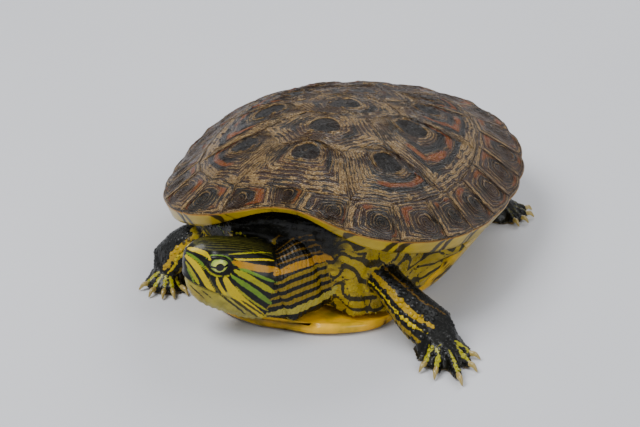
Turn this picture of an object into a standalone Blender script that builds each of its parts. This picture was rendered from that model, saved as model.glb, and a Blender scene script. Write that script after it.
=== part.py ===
"""Slider pond turtle, life size, standing still with its head turned hard to its own right.

Frame: metres, +Z up, the animal faces -Y and its own left is +X. The origin is under the middle of
the shell, on the flat underside of the plastron, which rests on the floor with the four feet.
All sizes below are in millimetres, and mm() turns them to metres.
"""

import math

import bmesh
import bpy
import numpy as np
from mathutils import Vector

# ---------------------------------------------------------------- driving sizes, millimetres
GAP = 0.35  # clearance between touching pieces
HALF_LENGTH = 100.0  # half of the straight carapace length
RIM_WIDTH, RIM_TAPER, RIM_SQUARE, RIM_POWER = 85.3, -0.044, 0.059, 0.904
RIM_Z, RIM_TILT, RIM_SADDLE = 39.0, 6.0, 6.7  # height of the rim, its rise to the front, its side sag
REAR_FLARE = 0.045  # the marginals flare out behind the bridge
NOTCH_DEPTH, NOTCH_WIDTH = 9.6, 23.5  # the front rim is set back over the neck
ARCH_RISE, ARCH_WIDTH = 9.7, 39.0  # and arched up
DOME_RISE, DOME_TOP_Y = 32.1, -44.1
DOME_POWER, DOME_FLARE = 2.13, 1.12
SHELL_WALL = 3.6
KEEL_RISE, KEEL_WIDTH = 1.3, 6.0
GROOVE, CROWN = 0.45, 0.75  # depth of the seams and the swell of each scute above the dome
NUCHAL_SHARE = 0.015  # half of the front plate's share of the half rim, then each marginal's share of it
MARGINAL_SHARES = (0.075, 0.095, 0.095, 0.070, *[0.075] * 4, *[0.090] * 3, 0.080)
MARGINAL_SEAMS = tuple(round(NUCHAL_SHARE + sum(MARGINAL_SHARES[:k]), 3) for k in range(len(MARGINAL_SHARES) + 1))
BAND_HALF_WIDTH, BAND_HALF_LENGTH, BAND_POWER = 62.5, 81.0, 0.70  # seam between marginals and pleurals
PLEURAL_SEAMS = (MARGINAL_SEAMS[1], 0.335, 0.555, 0.710, 0.890)  # where the pleural seams meet that band
VERTEBRAL_HALVES = (14.0, 28.0)  # half widths of the middle row, at its seams and between them
VERTEBRAL_ROWS = (-50.0, -30.0, -10.0, 6.0, 22.0, 38.0, 53.0)
VERTEBRAL_CORNERS = tuple((VERTEBRAL_HALVES[k % 2], y) for k, y in enumerate(VERTEBRAL_ROWS))
VERTEBRAL_MIDS = (-46.0, -15.0, 18.0, 50.0)
SCUTE_STEP = 11.8  # longest edge along a seam

PLASTRON_FRONT, PLASTRON_REAR, PLASTRON_WALL = -91.5, 88.0, 3.8
PLASTRON_SEAMS, SEAM_HALF_WIDTH = (-74.0, -52.0, -20.0, 22.0, 54.0), 0.9
LOBE_HALF_WIDTH, BRIDGE_FROM, BRIDGE_TO, BRIDGE_BLEND = 46.0, -41.0, 30.0, 9.0

HEAD_TURN, HEAD_PITCH = math.radians(62.0), math.radians(15.0)
EYE_MID = (-28.6, -96.6, 37.2)  # between the eyes
# head stations: along the head from between the eyes, crown height, chin height, half width
HEAD_STATIONS = ((-24.0, 6.6, -25.2, 14.6), (-20.0, 7.6, -25.3, 15.2), (-15.0, 8.1, -25.2, 15.0),
                 (-9.0, 8.3, -24.6, 13.5), (-4.0, 8.2, -23.8, 12.0), (0.0, 8.0, -23.0, 11.0),
                 (3.5, 7.7, -21.8, 9.8), (7.0, 6.8, -19.4, 8.3), (10.0, 5.2, -15.8, 6.4),
                 (12.4, 3.0, -10.4, 4.3), (13.8, 1.0, -5.0, 2.4))
MOUTH_LINE = ((22.0, -10.8), (9.0, -11.3), (0.0, -12.7), (-7.0, -14.0), (-11.0, -17.5), (-14.0, -34.0))
EYE_SIDE, EYE_RADIUS = 5.75, 5.2
HEAD_POINTS = 18  # points round a section of the head or the neck
# neck stations: centre, half width, half height, turn from straight ahead, pitch
NECK_STATIONS = (((4.0, -64.0, 28.5), 16.5, 17.0, 12.0, -4.0), ((2.0, -73.0, 25.8), 16.4, 18.4, 27.0, 2.0),
                 ((-3.5, -80.5, 24.0), 15.6, 18.0, 45.0, 8.0))

# limb stations: centre, half width across the broad side, half thickness, and that side's direction
LEFT_ARM = (((29.0, -62.0, 25.0), 8.0, 8.0, (0.5, 0.5, 0.7)), ((42.0, -74.0, 21.5), 8.0, 7.0, (0.5, 0.55, 0.67)),
            ((55.0, -82.5, 14.5), 9.8, 6.2, (0.5, 0.6, 0.6)), ((64.5, -85.5, 9.2), 11.8, 5.0, (0.62, 0.78, 0.2)))
RIGHT_ARM = (((-33.0, -55.0, 26.0), 8.0, 8.0, (0.8, -0.5, 0.0)), ((-48.0, -59.5, 25.5), 8.6, 7.2, (0.8, -0.5, 0.2)),
             ((-60.0, -62.5, 18.0), 9.8, 6.0, (0.8, -0.55, 0.1)), ((-66.0, -63.5, 9.5), 9.8, 5.2, (0.85, -0.5, 0.0)))
LEFT_LEG = (((38.0, 54.0, 21.0), 9.5, 8.5, (0.3, 1.0, 0.2)), ((54.0, 53.0, 20.0), 8.8, 7.4, (0.1, 1.0, 0.1)),
            ((63.0, 47.0, 13.5), 8.8, 5.8, (0.1, 1.0, 0.0)), ((68.5, 43.5, 8.2), 9.2, 4.8, (0.1, 1.0, 0.0)))
RIGHT_LEG = (((-38.0, 54.0, 21.0), 9.5, 8.5, (-0.3, 1.0, 0.2)), ((-53.0, 56.0, 20.0), 8.8, 7.4, (-0.2, 1.0, 0.1)),
             ((-61.0, 54.0, 13.5), 8.8, 5.8, (-0.2, 1.0, 0.0)), ((-65.5, 51.5, 8.2), 9.2, 4.8, (-0.2, 1.0, 0.0)))
ELBOW = 1  # the station where the upper and the lower piece of a limb part
# feet: palm centre, heel radius, toe headings in degrees from -Y to +X, reach of each toe without its claw
LEFT_HAND = ((69.2, -89.0), 13.2, (-18.0, 4.0, 31.0, 58.0, 86.0), (15.3, 18.0, 23.0, 17.4, 13.6))
RIGHT_HAND = ((-64.8, -65.0), 12.0, (-44.0, -13.0, 11.0, 30.0, 54.0), (11.6, 12.7, 12.6, 13.0, 12.8))
LEFT_FOOT = ((71.0, 41.0), 10.2, (50.0, 76.0, 102.0, 128.0), (11.0, 12.0, 13.5, 14.5))
RIGHT_FOOT = ((-68.0, 50.0), 10.0, (-56.0, -82.0, -108.0, -134.0), (11.0, 13.5, 13.5, 12.0))
TOE_HALF_WIDTH, TOE_HEIGHT, WEB_SHARE = 2.3, 4.2, 0.74
CLAW_LENGTH, CLAW_RADIUS, CLAW_TIP = 5.0, 1.30, 0.35
TAIL_STATIONS = (((0.0, 66.0, 18.0), 8.0, 7.0), ((1.5, 80.0, 14.0), 6.6, 5.8), ((6.5, 91.0, 9.5), 4.6, 4.2),
                 ((13.0, 98.5, 6.0), 2.8, 2.6), ((19.5, 102.5, 4.2), 1.1, 1.1))

# ---------------------------------------------------------------- colours (linear), roughness
FINISHES = {
    "carapace_scute": ((0.060, 0.042, 0.028), 0.42), "plastron_scute": ((0.62, 0.40, 0.07), 0.35),
    "turtle_skin": ((0.16, 0.17, 0.05), 0.40), "turtle_head_skin": ((0.22, 0.24, 0.06), 0.35),
    "turtle_eye": ((0.35, 0.42, 0.16), 0.08), "turtle_claw": ((0.34, 0.29, 0.12), 0.35),
}


def mm(point):
    """A point given in millimetres, as a Vector in metres."""
    return Vector([float(v) * 0.001 for v in point])


def clear_scene():
    for item in list(bpy.data.objects):
        bpy.data.objects.remove(item, do_unlink=True)


def collection(name, hidden=False):
    group = bpy.data.collections.new(name)
    bpy.context.scene.collection.children.link(group)
    group.hide_render = hidden
    return group


def material(name):
    found = bpy.data.materials.get(name)
    if found:
        return found
    colour, rough = FINISHES[name]
    made = bpy.data.materials.new(name)
    made.use_nodes = True
    shader = made.node_tree.nodes["Principled BSDF"]
    shader.inputs["Base Color"].default_value = (*colour, 1.0)
    shader.inputs["Roughness"].default_value = rough
    shader.inputs["Metallic"].default_value = 0.0
    return made


def object_of(name, bm, group, finish, cutter=False):
    """A mesh object from a bmesh in metres, with its faces turned outwards."""
    bmesh.ops.remove_doubles(bm, verts=bm.verts, dist=1e-6)
    bmesh.ops.recalc_face_normals(bm, faces=bm.faces)
    mesh = bpy.data.meshes.new(name)
    bm.to_mesh(mesh)
    bm.free()
    mesh.shade_smooth()
    mesh.set_sharp_from_angle(angle=math.radians(40))
    made = bpy.data.objects.new(name, mesh)
    group.objects.link(made)
    made.data.materials.append(material(finish))
    if cutter:
        made.hide_render = True
        made.display_type = "WIRE"
    return made


def cut(target, cutter):
    """Takes the cutter's shape out of the target."""
    modifier = target.modifiers.new("cut_" + cutter.name, "BOOLEAN")
    modifier.operation, modifier.solver, modifier.object = "DIFFERENCE", "EXACT", cutter


def loft(bm, rings, close_start=True, close_end=True):
    """Bridges rings with the same count of points and closes the ends with a fan to their middle."""
    loops = [[bm.verts.new(mm(p)) for p in ring] for ring in rings]
    count = len(loops[0])
    for low, high in zip(loops, loops[1:]):
        for i in range(count):
            j = (i + 1) % count
            bm.faces.new((low[i], low[j], high[j], high[i]))
    for loop, wanted in ((loops[0], close_start), (loops[-1], close_end)):
        if wanted:
            middle = bm.verts.new(sum((v.co for v in loop), Vector()) / count)
            for i in range(count):
                bm.faces.new((loop[i], loop[(i + 1) % count], middle))
    return loops


def unit(v):
    v = np.asarray(v, float)
    return v / np.linalg.norm(v)


def smooth_step(low, high, v):
    t = min(1.0, max(0.0, (v - low) / (high - low)))
    return t * t * (3 - 2 * t)


# ---------------------------------------------------------------- shell
def rim_point(s):
    """Rim of the carapace: s is 0 at the front and +-1 at the rear, positive on the animal's left."""
    sn, cs, c2 = math.sin(math.pi * s), math.cos(math.pi * s), math.cos(2 * math.pi * s)
    x = RIM_WIDTH * math.copysign(abs(sn) ** RIM_POWER, s) * (1 + RIM_TAPER * cs + RIM_SQUARE * c2)
    x *= 1 + REAR_FLARE * smooth_step(0.42, 0.70, abs(s)) * (1 - smooth_step(0.80, 1.0, abs(s)))
    front = 1.0 if cs > 0 else 0.0
    y = -HALF_LENGTH * cs + front * NOTCH_DEPTH * math.exp(-((x / NOTCH_WIDTH) ** 2))
    z = RIM_Z + RIM_TILT * cs + RIM_SADDLE * c2 + front * ARCH_RISE * math.exp(-((x / ARCH_WIDTH) ** 2))
    return np.array([x, y, z])


def scallop(s):
    """How far the rim swells out between two marginal seams, most at the rear."""
    a = abs(s)
    seams = (-MARGINAL_SEAMS[0],) + MARGINAL_SEAMS
    for low, high in zip(seams, seams[1:]):
        if low <= a <= high:
            t = (a - low) / (high - low)
            return (0.2 + 2.2 * max(0.0, a - 0.25) / 0.75) * 4 * t * (1 - t)
    return 0.0


RIM_TABLE = np.array([rim_point(s) for s in np.linspace(-1, 1, 721)])
RIM_ANGLE = np.arctan2(RIM_TABLE[:, 0], -(RIM_TABLE[:, 1] - DOME_TOP_Y))
RIM_ORDER = np.argsort(RIM_ANGLE)
RIM_RADIUS = np.hypot(RIM_TABLE[:, 0], RIM_TABLE[:, 1] - DOME_TOP_Y)


def dome(x, y):
    """Height of the smooth carapace over a point of the plan."""
    angle = math.atan2(x, -(y - DOME_TOP_Y))
    reach = np.interp(angle, RIM_ANGLE[RIM_ORDER], RIM_RADIUS[RIM_ORDER], period=2 * math.pi)
    edge = np.interp(angle, RIM_ANGLE[RIM_ORDER], RIM_TABLE[RIM_ORDER, 2], period=2 * math.pi)
    u = min(1.0, math.hypot(x, y - DOME_TOP_Y) / reach)
    keel = KEEL_RISE * math.exp(-((x / KEEL_WIDTH) ** 2)) * (1 - u**4)
    return edge + (RIM_Z + DOME_RISE - edge) * (1 - u**DOME_POWER) ** DOME_FLARE + keel


def band_point(s):
    """Plan of the seam between the marginals and the plates inside them."""
    sn, cs = math.sin(math.pi * s), math.cos(math.pi * s)
    return BAND_HALF_WIDTH * math.copysign(abs(sn) ** BAND_POWER, s), -BAND_HALF_LENGTH * cs


def rim_plan(s):
    p = rim_point(s)
    out = unit((p[0], p[1])) * scallop(s)
    return p[0] + out[0], p[1] + out[1]


def carapace_layout():
    """Plan outline and growth centre of every scute."""
    def mirrored(points):
        return [(-x, y) for x, y in reversed(points)]

    def band(low, high):
        stops = sorted({low, high, *[m for m in MARGINAL_SEAMS if low < m < high],
                        *[p for p in PLEURAL_SEAMS if low < p < high]})
        return [band_point(s) for s in stops]

    plates = []
    corners = VERTEBRAL_CORNERS
    front = band(MARGINAL_SEAMS[0], PLEURAL_SEAMS[0])
    plates.append((front + [corners[0], (0.0, VERTEBRAL_MIDS[0]), (-corners[0][0], corners[0][1])]
                   + mirrored(front), (0.0, -58.0)))
    for k in range(3):
        side = [corners[2 * k], corners[2 * k + 1], corners[2 * k + 2]]
        plates.append((side + [(0.0, VERTEBRAL_MIDS[k + 1])] + mirrored(side) + [(0.0, VERTEBRAL_MIDS[k])],
                       (0.0, corners[2 * k + 1][1] + 8.0)))
    rear = [corners[6]] + band(PLEURAL_SEAMS[4], 1.0)
    plates.append((rear + mirrored(rear)[1:] + [(0.0, VERTEBRAL_MIDS[3])], (0.0, 66.0)))
    inner = [[corners[1], corners[0]], [corners[3], corners[2], corners[1]],
             [corners[5], corners[4], corners[3]], [corners[6], corners[5]]]
    for k in range(4):
        outline = band(PLEURAL_SEAMS[k], PLEURAL_SEAMS[k + 1]) + inner[k]
        middle = np.mean(outline, axis=0)
        top = np.mean(inner[k], axis=0)
        centre = tuple(middle * 0.55 + top * 0.45)
        plates += [(outline, centre), (mirrored(outline), (-centre[0], centre[1]))]
    seams = MARGINAL_SEAMS
    nuchal = [rim_plan(0.0), rim_plan(seams[0]), band_point(seams[0])]
    plates.append((nuchal + mirrored(nuchal[1:]), (0.0, -84.5)))
    for low, high in zip(seams, seams[1:]):
        outline = [rim_plan(low), rim_plan((low + high) / 2), rim_plan(high)] + band(low, high)[::-1]
        a, b = np.array(rim_plan(high - 0.25 * (high - low))), np.array(band_point(high - 0.25 * (high - low)))
        centre = tuple(a * 0.62 + b * 0.38)
        plates += [(outline, centre), (mirrored(outline), (-centre[0], centre[1]))]
    return plates


def plate_sheet(bm, plates, height, rings, step):
    """Fills each plan outline with rings about its growth centre. Neighbours share their seam."""
    verts = {}

    def vert(x, y):
        key = (round(x, 3), round(y, 3))
        if key not in verts:
            verts[key] = bm.verts.new((key[0], key[1], 0.0))
        return verts[key]

    faces = []
    for outline, centre in plates:
        loop = []
        for (x0, y0), (x1, y1) in zip(outline, outline[1:] + outline[:1]):
            parts = max(1, math.ceil(math.hypot(x1 - x0, y1 - y0) / step))
            forward = (x0, y0) < (x1, y1)
            for i in range(parts):
                # both neighbours step from the same end, so that the points agree
                t = i / parts if forward else 1 - i / parts
                a, b = ((x0, y0), (x1, y1)) if forward else ((x1, y1), (x0, y0))
                loop.append(vert(a[0] + (b[0] - a[0]) * t, a[1] + (b[1] - a[1]) * t))
        faces.append((bm.faces.new(loop), centre))
    seam = list(bm.verts)
    for v in seam:
        v.co.z = height(v.co.x, v.co.y, 0.0)
    for face, (cx, cy) in faces:
        base = [(v.co.x, v.co.y) for v in face.verts]
        for share in rings:
            bmesh.ops.inset_individual(bm, faces=[face], thickness=1e-3, depth=0.0)
            for (x, y), v in zip(base, face.verts):
                v.co.x, v.co.y = cx + (x - cx) * share, cy + (y - cy) * share
                v.co.z = height(v.co.x, v.co.y, 1 - share)
        bmesh.ops.poke(bm, faces=[face])
        bm.verts.ensure_lookup_table()
        middle = bm.verts[-1]
        middle.co.z = height(middle.co.x, middle.co.y, 1.0)
    for v in bm.verts:
        v.co *= 0.001
    return [e for e in bm.edges if len(e.link_faces) == 1]


def extrude_rim(bm, edges, place):
    """Extrudes an open edge loop once and puts each new vertex where place says, in millimetres."""
    made = bmesh.ops.extrude_edge_only(bm, edges=edges)["geom"]
    for v in (g for g in made if isinstance(g, bmesh.types.BMVert)):
        v.co = mm(place(v.co.x * 1000, v.co.y * 1000, v.co.z * 1000))
    return [g for g in made if isinstance(g, bmesh.types.BMEdge) and len(g.link_faces) == 1]


def lip_sizes(x, y):
    """How far the marginals turn down and in under the rim: deepest over the bridge."""
    side = math.exp(-(((y + 6.0) / 44.0) ** 2))
    out = smooth_step(6.0, 44.0, abs(x)) * (1.0 - 0.5 * smooth_step(-12.0, 60.0, y))
    return 3.8 + 3.0 * out + 2.6 * side, 1.8 + 4.0 * side


def inward(x, y):
    return -unit((x, y - np.clip(y, -30.0, 30.0)))


def make_carapace(group):
    bm = bmesh.new()

    def height(x, y, share):
        return dome(x, y) - (GROOVE if share == 0.0 else -0.15 - CROWN * share)

    edges = plate_sheet(bm, carapace_layout(), height, (0.90, 0.55), SCUTE_STEP)

    def lip_outer(x, y, z):
        down, into = lip_sizes(x, y)
        d = inward(x, y)
        return x + d[0] * into, y + d[1] * into, z - down

    def lip_inner(x, y, z):
        d = inward(x, y)
        return x + d[0] * SHELL_WALL, y + d[1] * SHELL_WALL, z + 0.2

    edges = extrude_rim(bm, edges, lip_outer)
    edges = extrude_rim(bm, edges, lip_inner)
    # the hollow inside follows the dome, one wall lower
    for share in (0.86, 0.62, 0.30):
        def under(x, y, z, share=share):
            here = math.hypot(x, y)
            reach = np.interp(math.atan2(x, -y), *PLAN_REACH, period=2 * math.pi)
            k = share * reach / here
            return x * k, y * k, dome(x * k, y * k) - SHELL_WALL - 0.6
        edges = extrude_rim(bm, edges, under)
    filled = bmesh.ops.holes_fill(bm, edges=edges)["faces"]
    bmesh.ops.poke(bm, faces=filled)
    bmesh.ops.triangulate(bm, faces=bm.faces)
    return object_of("carapace", bm, group, "carapace_scute")


PLAN_ANGLE = np.arctan2(RIM_TABLE[:, 0], -RIM_TABLE[:, 1])
PLAN_SORT = np.argsort(PLAN_ANGLE)
PLAN_REACH = (PLAN_ANGLE[PLAN_SORT], np.hypot(RIM_TABLE[:, 0], RIM_TABLE[:, 1])[PLAN_SORT])


def bridge_share(y):
    """1 along the bridge, 0 at the lobes."""
    return (smooth_step(BRIDGE_FROM - BRIDGE_BLEND, BRIDGE_FROM, y)
            * (1 - smooth_step(BRIDGE_TO, BRIDGE_TO + BRIDGE_BLEND, y)))


def lobe_half_width(y):
    """Half width of the flat of the plastron."""
    end = PLASTRON_FRONT - 0.8 if y < 0 else PLASTRON_REAR + 1.0
    return LOBE_HALF_WIDTH * max(0.0, 1 - (y / end) ** 6) ** 0.5


def bridge_top(y):
    """Where the bridge meets the lip of the marginals."""
    left = RIM_TABLE[RIM_TABLE[:, 0] > 0]
    x, z = np.interp(y, left[:, 1], left[:, 0]), np.interp(y, left[:, 1], left[:, 2])
    down, into = lip_sizes(x, y)
    return x - into - 0.8, z - GROOVE - down - GAP - 0.9


def plastron_profile(y):
    """Half section of the underside at one station: from the middle out to the edge or up the bridge."""
    wide, share = lobe_half_width(y), bridge_share(y)
    top_x, top_z = bridge_top(y)
    lift = 1.6 * smooth_step(-74.0, PLASTRON_FRONT, y) if y < -74.0 else 0.0
    groove = GROOVE if any(abs(y - seam) < 0.1 for seam in PLASTRON_SEAMS) else 0.0
    points = [(0.0, GROOVE + lift), (SEAM_HALF_WIDTH, lift + groove), (0.5 * wide, lift + groove),
              (wide, lift + groove)]
    for t in (0.33, 0.67, 1.0):
        out = wide + share * (top_x - wide) * t + (1 - share) * 1.6 * t
        rise = share * top_z * (0.18 * t + 0.82 * t * t) + (1 - share) * 1.3 * t * t
        points.append((out, lift + rise))
    return points


def plastron_stations():
    """Rows across the plastron: three at each seam, and others to follow its outline."""
    rows = [PLASTRON_FRONT, PLASTRON_REAR]
    for seam in PLASTRON_SEAMS:
        rows += [seam - SEAM_HALF_WIDTH, seam, seam + SEAM_HALF_WIDTH]
    rows += [-88.0, -82.0, -62.0, -46.0, -41.0, -32.0, -10.0, 0.0, 10.0, 30.0, 34.5, 39.0, 68.0, 80.0]
    return sorted(rows)


def make_plastron(group):
    """A plate as thick as its wall, flat below, with a bridge up to the marginals on each side."""
    bm = bmesh.new()
    grids = []
    for inner in (False, True):
        grid = []
        for y in plastron_stations():
            half = plastron_profile(y)
            share, last = bridge_share(y), len(half) - 1
            row = []
            for k in list(range(last, 0, -1)) + list(range(last + 1)):
                x, z = half[k]
                sign = -1.0 if len(row) < last else 1.0
                if inner:
                    steep = share * smooth_step(3.0, last, k)
                    x, z = x - 2.8 * steep, max(z, 0.0) + PLASTRON_WALL - 3.4 * steep
                row.append(bm.verts.new(mm((sign * x, y, z))))
            grid.append(row)
        grids.append(grid)
    low, high = grids
    rows, columns = len(low), len(low[0])
    for i in range(rows - 1):
        for j in range(columns - 1):
            bm.faces.new((low[i][j], low[i + 1][j], low[i + 1][j + 1], low[i][j + 1]))
            bm.faces.new((high[i][j], high[i][j + 1], high[i + 1][j + 1], high[i + 1][j]))
    bmesh.ops.bridge_loops(bm, edges=[e for e in bm.edges if len(e.link_faces) == 1])
    bmesh.ops.triangulate(bm, faces=bm.faces)
    return object_of("plastron", bm, group, "plastron_scute")


# ---------------------------------------------------------------- flesh
def frame_of(axis, across):
    """Two unit vectors square to an axis, the first near to across."""
    axis = unit(axis)
    wide = unit(np.asarray(across, float) - np.dot(across, axis) * axis)
    return wide, np.cross(axis, wide)


def ellipse_ring(centre, wide, thick, half_wide, half_thick, count, power=1.0):
    ring = []
    for i in range(count):
        a = 2 * math.pi * i / count
        c, s = math.cos(a), math.sin(a)
        ring.append(np.asarray(centre) + wide * half_wide * math.copysign(abs(c) ** power, c)
                    + thick * half_thick * math.copysign(abs(s) ** power, s))
    return ring


def full_ring(ring, centre, left, up, half_wide, half_tall, share):
    """Fills out the lower corners of a section, where loose skin hangs."""
    for p in ring:
        a, b = float((p - centre) @ left) / half_wide, float((p - centre) @ up) / half_tall
        if b < 0:
            p += left * half_wide * share * a * b * b * 1.6 + up * half_tall * share * b * a * a * 0.9
    return ring


def limb_rings(stations, first, last, count=12, grow=0.0, steps=2):
    """Rings of a limb from one station to another, with steps rings a span."""
    centres = np.array([s[0] for s in stations], float)
    rings = []
    for k in range(first, last):
        for i in range(steps + (k == last - 1)):
            t = i / steps
            k0, k3 = max(k - 1, 0), min(k + 2, len(stations) - 1)
            here = blend(centres[k0], centres[k], centres[k + 1], centres[k3], t)
            ahead = blend(centres[k0], centres[k], centres[k + 1], centres[k3], t + 0.01)
            back = blend(centres[k0], centres[k], centres[k + 1], centres[k3], t - 0.01)
            a, b = stations[k], stations[k + 1]
            wide, thick = frame_of(ahead - back, np.array(a[3]) * (1 - t) + np.array(b[3]) * t)
            rings.append(ellipse_ring(here, wide, thick, a[1] + (b[1] - a[1]) * t + grow,
                                      a[2] + (b[2] - a[2]) * t + grow, count, 0.9))
    return rings


def blend(p0, p1, p2, p3, t):
    """Catmull-Rom curve through p1 and p2."""
    return 0.5 * (2 * p1 + (p2 - p0) * t + (2 * p0 - 5 * p1 + 4 * p2 - p3) * t * t
                  + (3 * p1 - p0 - 3 * p2 + p3) * t**3)


def shifted(ring, towards, distance):
    """The ring moved along the line from its middle to the middle of another."""
    step = unit(np.mean(towards, axis=0) - np.mean(ring, axis=0)) * distance
    return [p + step for p in ring]


HEAD_AXIS = np.array([-math.sin(HEAD_TURN) * math.cos(HEAD_PITCH), -math.cos(HEAD_TURN) * math.cos(HEAD_PITCH),
                      math.sin(HEAD_PITCH)])
HEAD_LEFT = np.array([math.cos(HEAD_TURN), -math.sin(HEAD_TURN), 0.0])
HEAD_UP = np.cross(HEAD_AXIS, HEAD_LEFT)


def in_head(along, left, up):
    """A point of the head's own frame, which starts between the eyes."""
    return np.array(EYE_MID) + HEAD_AXIS * along + HEAD_LEFT * left + HEAD_UP * up


def head_ring(station, count=HEAD_POINTS, grow=0.0):
    """Section of the head: flat crown, full cheeks and a narrower chin."""
    along, crown, chin, half = station
    middle, tall = (crown + chin) / 2 + 1.5, (crown - chin) / 2
    ring = []
    for i in range(count):
        a = 2 * math.pi * i / count
        c, s = math.cos(a), math.sin(a)
        power = 0.72 if s > 0 else 0.64
        up = math.copysign(abs(s) ** power, s)
        narrow = 1 - 0.20 * max(0.0, up) ** 2 - 0.07 * max(0.0, -up) ** 2
        left = math.copysign(abs(c) ** power, c) * narrow
        level = middle + up * ((crown - middle) if up > 0 else (middle - chin))
        ring.append(in_head(along, left * (half + grow), level + math.copysign(grow, up)))
    return ring


def make_head(group):
    bm = bmesh.new()
    loft(bm, [head_ring(s) for s in HEAD_STATIONS])
    bmesh.ops.triangulate(bm, faces=bm.faces)
    return object_of("head", bm, group, "turtle_head_skin")


def wedge(name, path, group, upper, half_width=30.0):
    """The whole space over or under a path of the head's side view, less half a gap."""
    bm = bmesh.new()
    path = [np.array(p) for p in path]
    normals = [unit((-(b - a)[1], (b - a)[0])) for a, b in zip(path, path[1:])]
    # the path runs from the snout to the throat, so its normal points down and forward
    side = 1.0 if upper else -1.0
    line = []
    for i, p in enumerate(path):
        n = unit(normals[max(0, i - 1)] + normals[min(i, len(normals) - 1)])
        line.append(p + n * side * GAP / 2)
    far = [(-45.0, -34.0), (-45.0, 30.0), (22.0, 30.0)] if upper else [(22.0, -34.0)]
    outline = line + [np.array(p) for p in far]
    loops = [[bm.verts.new(mm(in_head(p[0], s, p[1]))) for p in outline] for s in (-half_width, half_width)]
    for i in range(len(outline)):
        j = (i + 1) % len(outline)
        bm.faces.new((loops[0][i], loops[0][j], loops[1][j], loops[1][i]))
    caps = [bm.faces.new(loop) for loop in loops]
    bmesh.ops.triangulate(bm, faces=caps)
    return object_of(name, bm, group, "turtle_head_skin", cutter=True)


def make_skull(group, cutters):
    """The head and the lower jaw, parted at the mouth, and the two eyes in their sockets."""
    head = make_head(group)
    jaw = object_copy(head, "jaw", group)
    cut(head, wedge("space_below_mouth", MOUTH_LINE, cutters, upper=False))
    cut(jaw, wedge("space_above_mouth", MOUTH_LINE, cutters, upper=True))
    for side, sign in (("left", 1.0), ("right", -1.0)):
        centre = in_head(0.0, sign * EYE_SIDE, 0.0)
        ball(f"{side}_eye", centre, EYE_RADIUS, group, "turtle_eye", 12, 8)
        cut(head, ball(f"{side}_socket", centre, EYE_RADIUS + GAP, cutters, "turtle_eye", 12, 8, cutter=True))


def ball(name, centre, radius, group, finish, segments, rings, cutter=False):
    bm = bmesh.new()
    bmesh.ops.create_uvsphere(bm, u_segments=segments, v_segments=rings, radius=radius * 0.001)
    made = object_of(name, bm, group, finish, cutter)
    made.location = mm(centre)
    return made


def object_copy(source, name, group):
    made = source.copy()
    made.data = source.data.copy()
    made.name = made.data.name = name
    group.objects.link(made)
    return made


def neck_rings(grow=0.0, inside=0.0, count=HEAD_POINTS):
    rings = []
    for centre, half_wide, half_tall, turn, pitch in NECK_STATIONS:
        t, p = math.radians(turn), math.radians(pitch)
        axis = np.array([-math.sin(t) * math.cos(p), -math.cos(t) * math.cos(p), math.sin(p)])
        left = np.array([math.cos(t), -math.sin(t), 0.0])
        up = np.cross(axis, left)
        ring = ellipse_ring(centre, left, up, half_wide + grow, half_tall + grow, count, 0.92)
        rings.append(full_ring(ring, np.array(centre), left, up, half_wide, half_tall, 0.42))
    last = head_ring(HEAD_STATIONS[0], count, grow)
    rings.append([p - HEAD_AXIS * GAP for p in last])
    if inside:
        rings[0] = shifted(rings[0], rings[1], -inside)
    return rings


def trunk_rings(count=28):
    """Flesh of the body between the two halves of the shell, from the belly round to the back."""
    profile = []
    for i in range(count):
        s = -1 + 2 * (i + 0.5) / count
        p = rim_point(s)
        side = abs(math.sin(math.pi * s)) ** 2.5
        front = max(0.0, math.cos(math.pi * s))
        tuck = 0.07 * smooth_step(14.0, 34.0, p[1]) * side  # clear of the end of the bridge
        brim = 0.13 * front * smooth_step(0.07, 0.12, abs(s)) * (1 - smooth_step(0.22, 0.30, abs(s)))
        low = 0.79 - 0.19 * side - tuck + brim  # loose skin lies on the front lobe
        mid = 0.865 - 0.145 * side - tuck
        high = 0.885 - 0.055 * side
        line = [(0.40 * low, PLASTRON_WALL + 1.0), (low, PLASTRON_WALL + 2.3), (0.5 * (low + mid), 9.5),
                (mid, 19.0 + 2.0 * front), (high, p[2] - 11.5)]
        ring = [(p[0] * k, p[1] * k, z) for k, z in line]
        for k in (0.72, 0.42):
            x, y = p[0] * k, p[1] * k
            ring.append((x, y, dome(x, y) - SHELL_WALL - 1.9))
        profile.append(ring)
    return [[profile[i][k] for i in range(count)] for k in range(len(profile[0]))]


def foot_outline(palm, heel, headings, reaches):
    """Plan of a webbed foot: five points for each toe, then the heel."""
    points = []
    turn = 1.0 if headings[-1] > headings[0] else -1.0
    for k, (heading, reach) in enumerate(zip(headings, reaches)):
        a = math.radians(heading)
        ahead, side = np.array([math.sin(a), -math.cos(a)]), np.array([math.cos(a), math.sin(a)]) * turn
        base = WEB_SHARE * reach
        points += [ahead * base - side * TOE_HALF_WIDTH, ahead * reach * 0.97 - side * TOE_HALF_WIDTH * 0.8,
                   ahead * reach + side * 0.0, ahead * reach * 0.97 + side * TOE_HALF_WIDTH * 0.8,
                   ahead * base + side * TOE_HALF_WIDTH]
        if k + 1 < len(headings):
            b = math.radians((heading + headings[k + 1]) / 2)
            web = WEB_SHARE * 0.93 * (reach + reaches[k + 1]) / 2
            points.append(np.array([math.sin(b), -math.cos(b)]) * web)
    first, last = headings[0], headings[-1]
    rest = 360.0 - abs(last - first)
    for i in range(1, 7):
        b = math.radians(last + turn * rest * (0.10 + 0.80 * (i - 1) / 5))
        points.append(np.array([math.sin(b), -math.cos(b)]) * heel)
    return [p + np.array(palm) for p in points]


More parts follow.
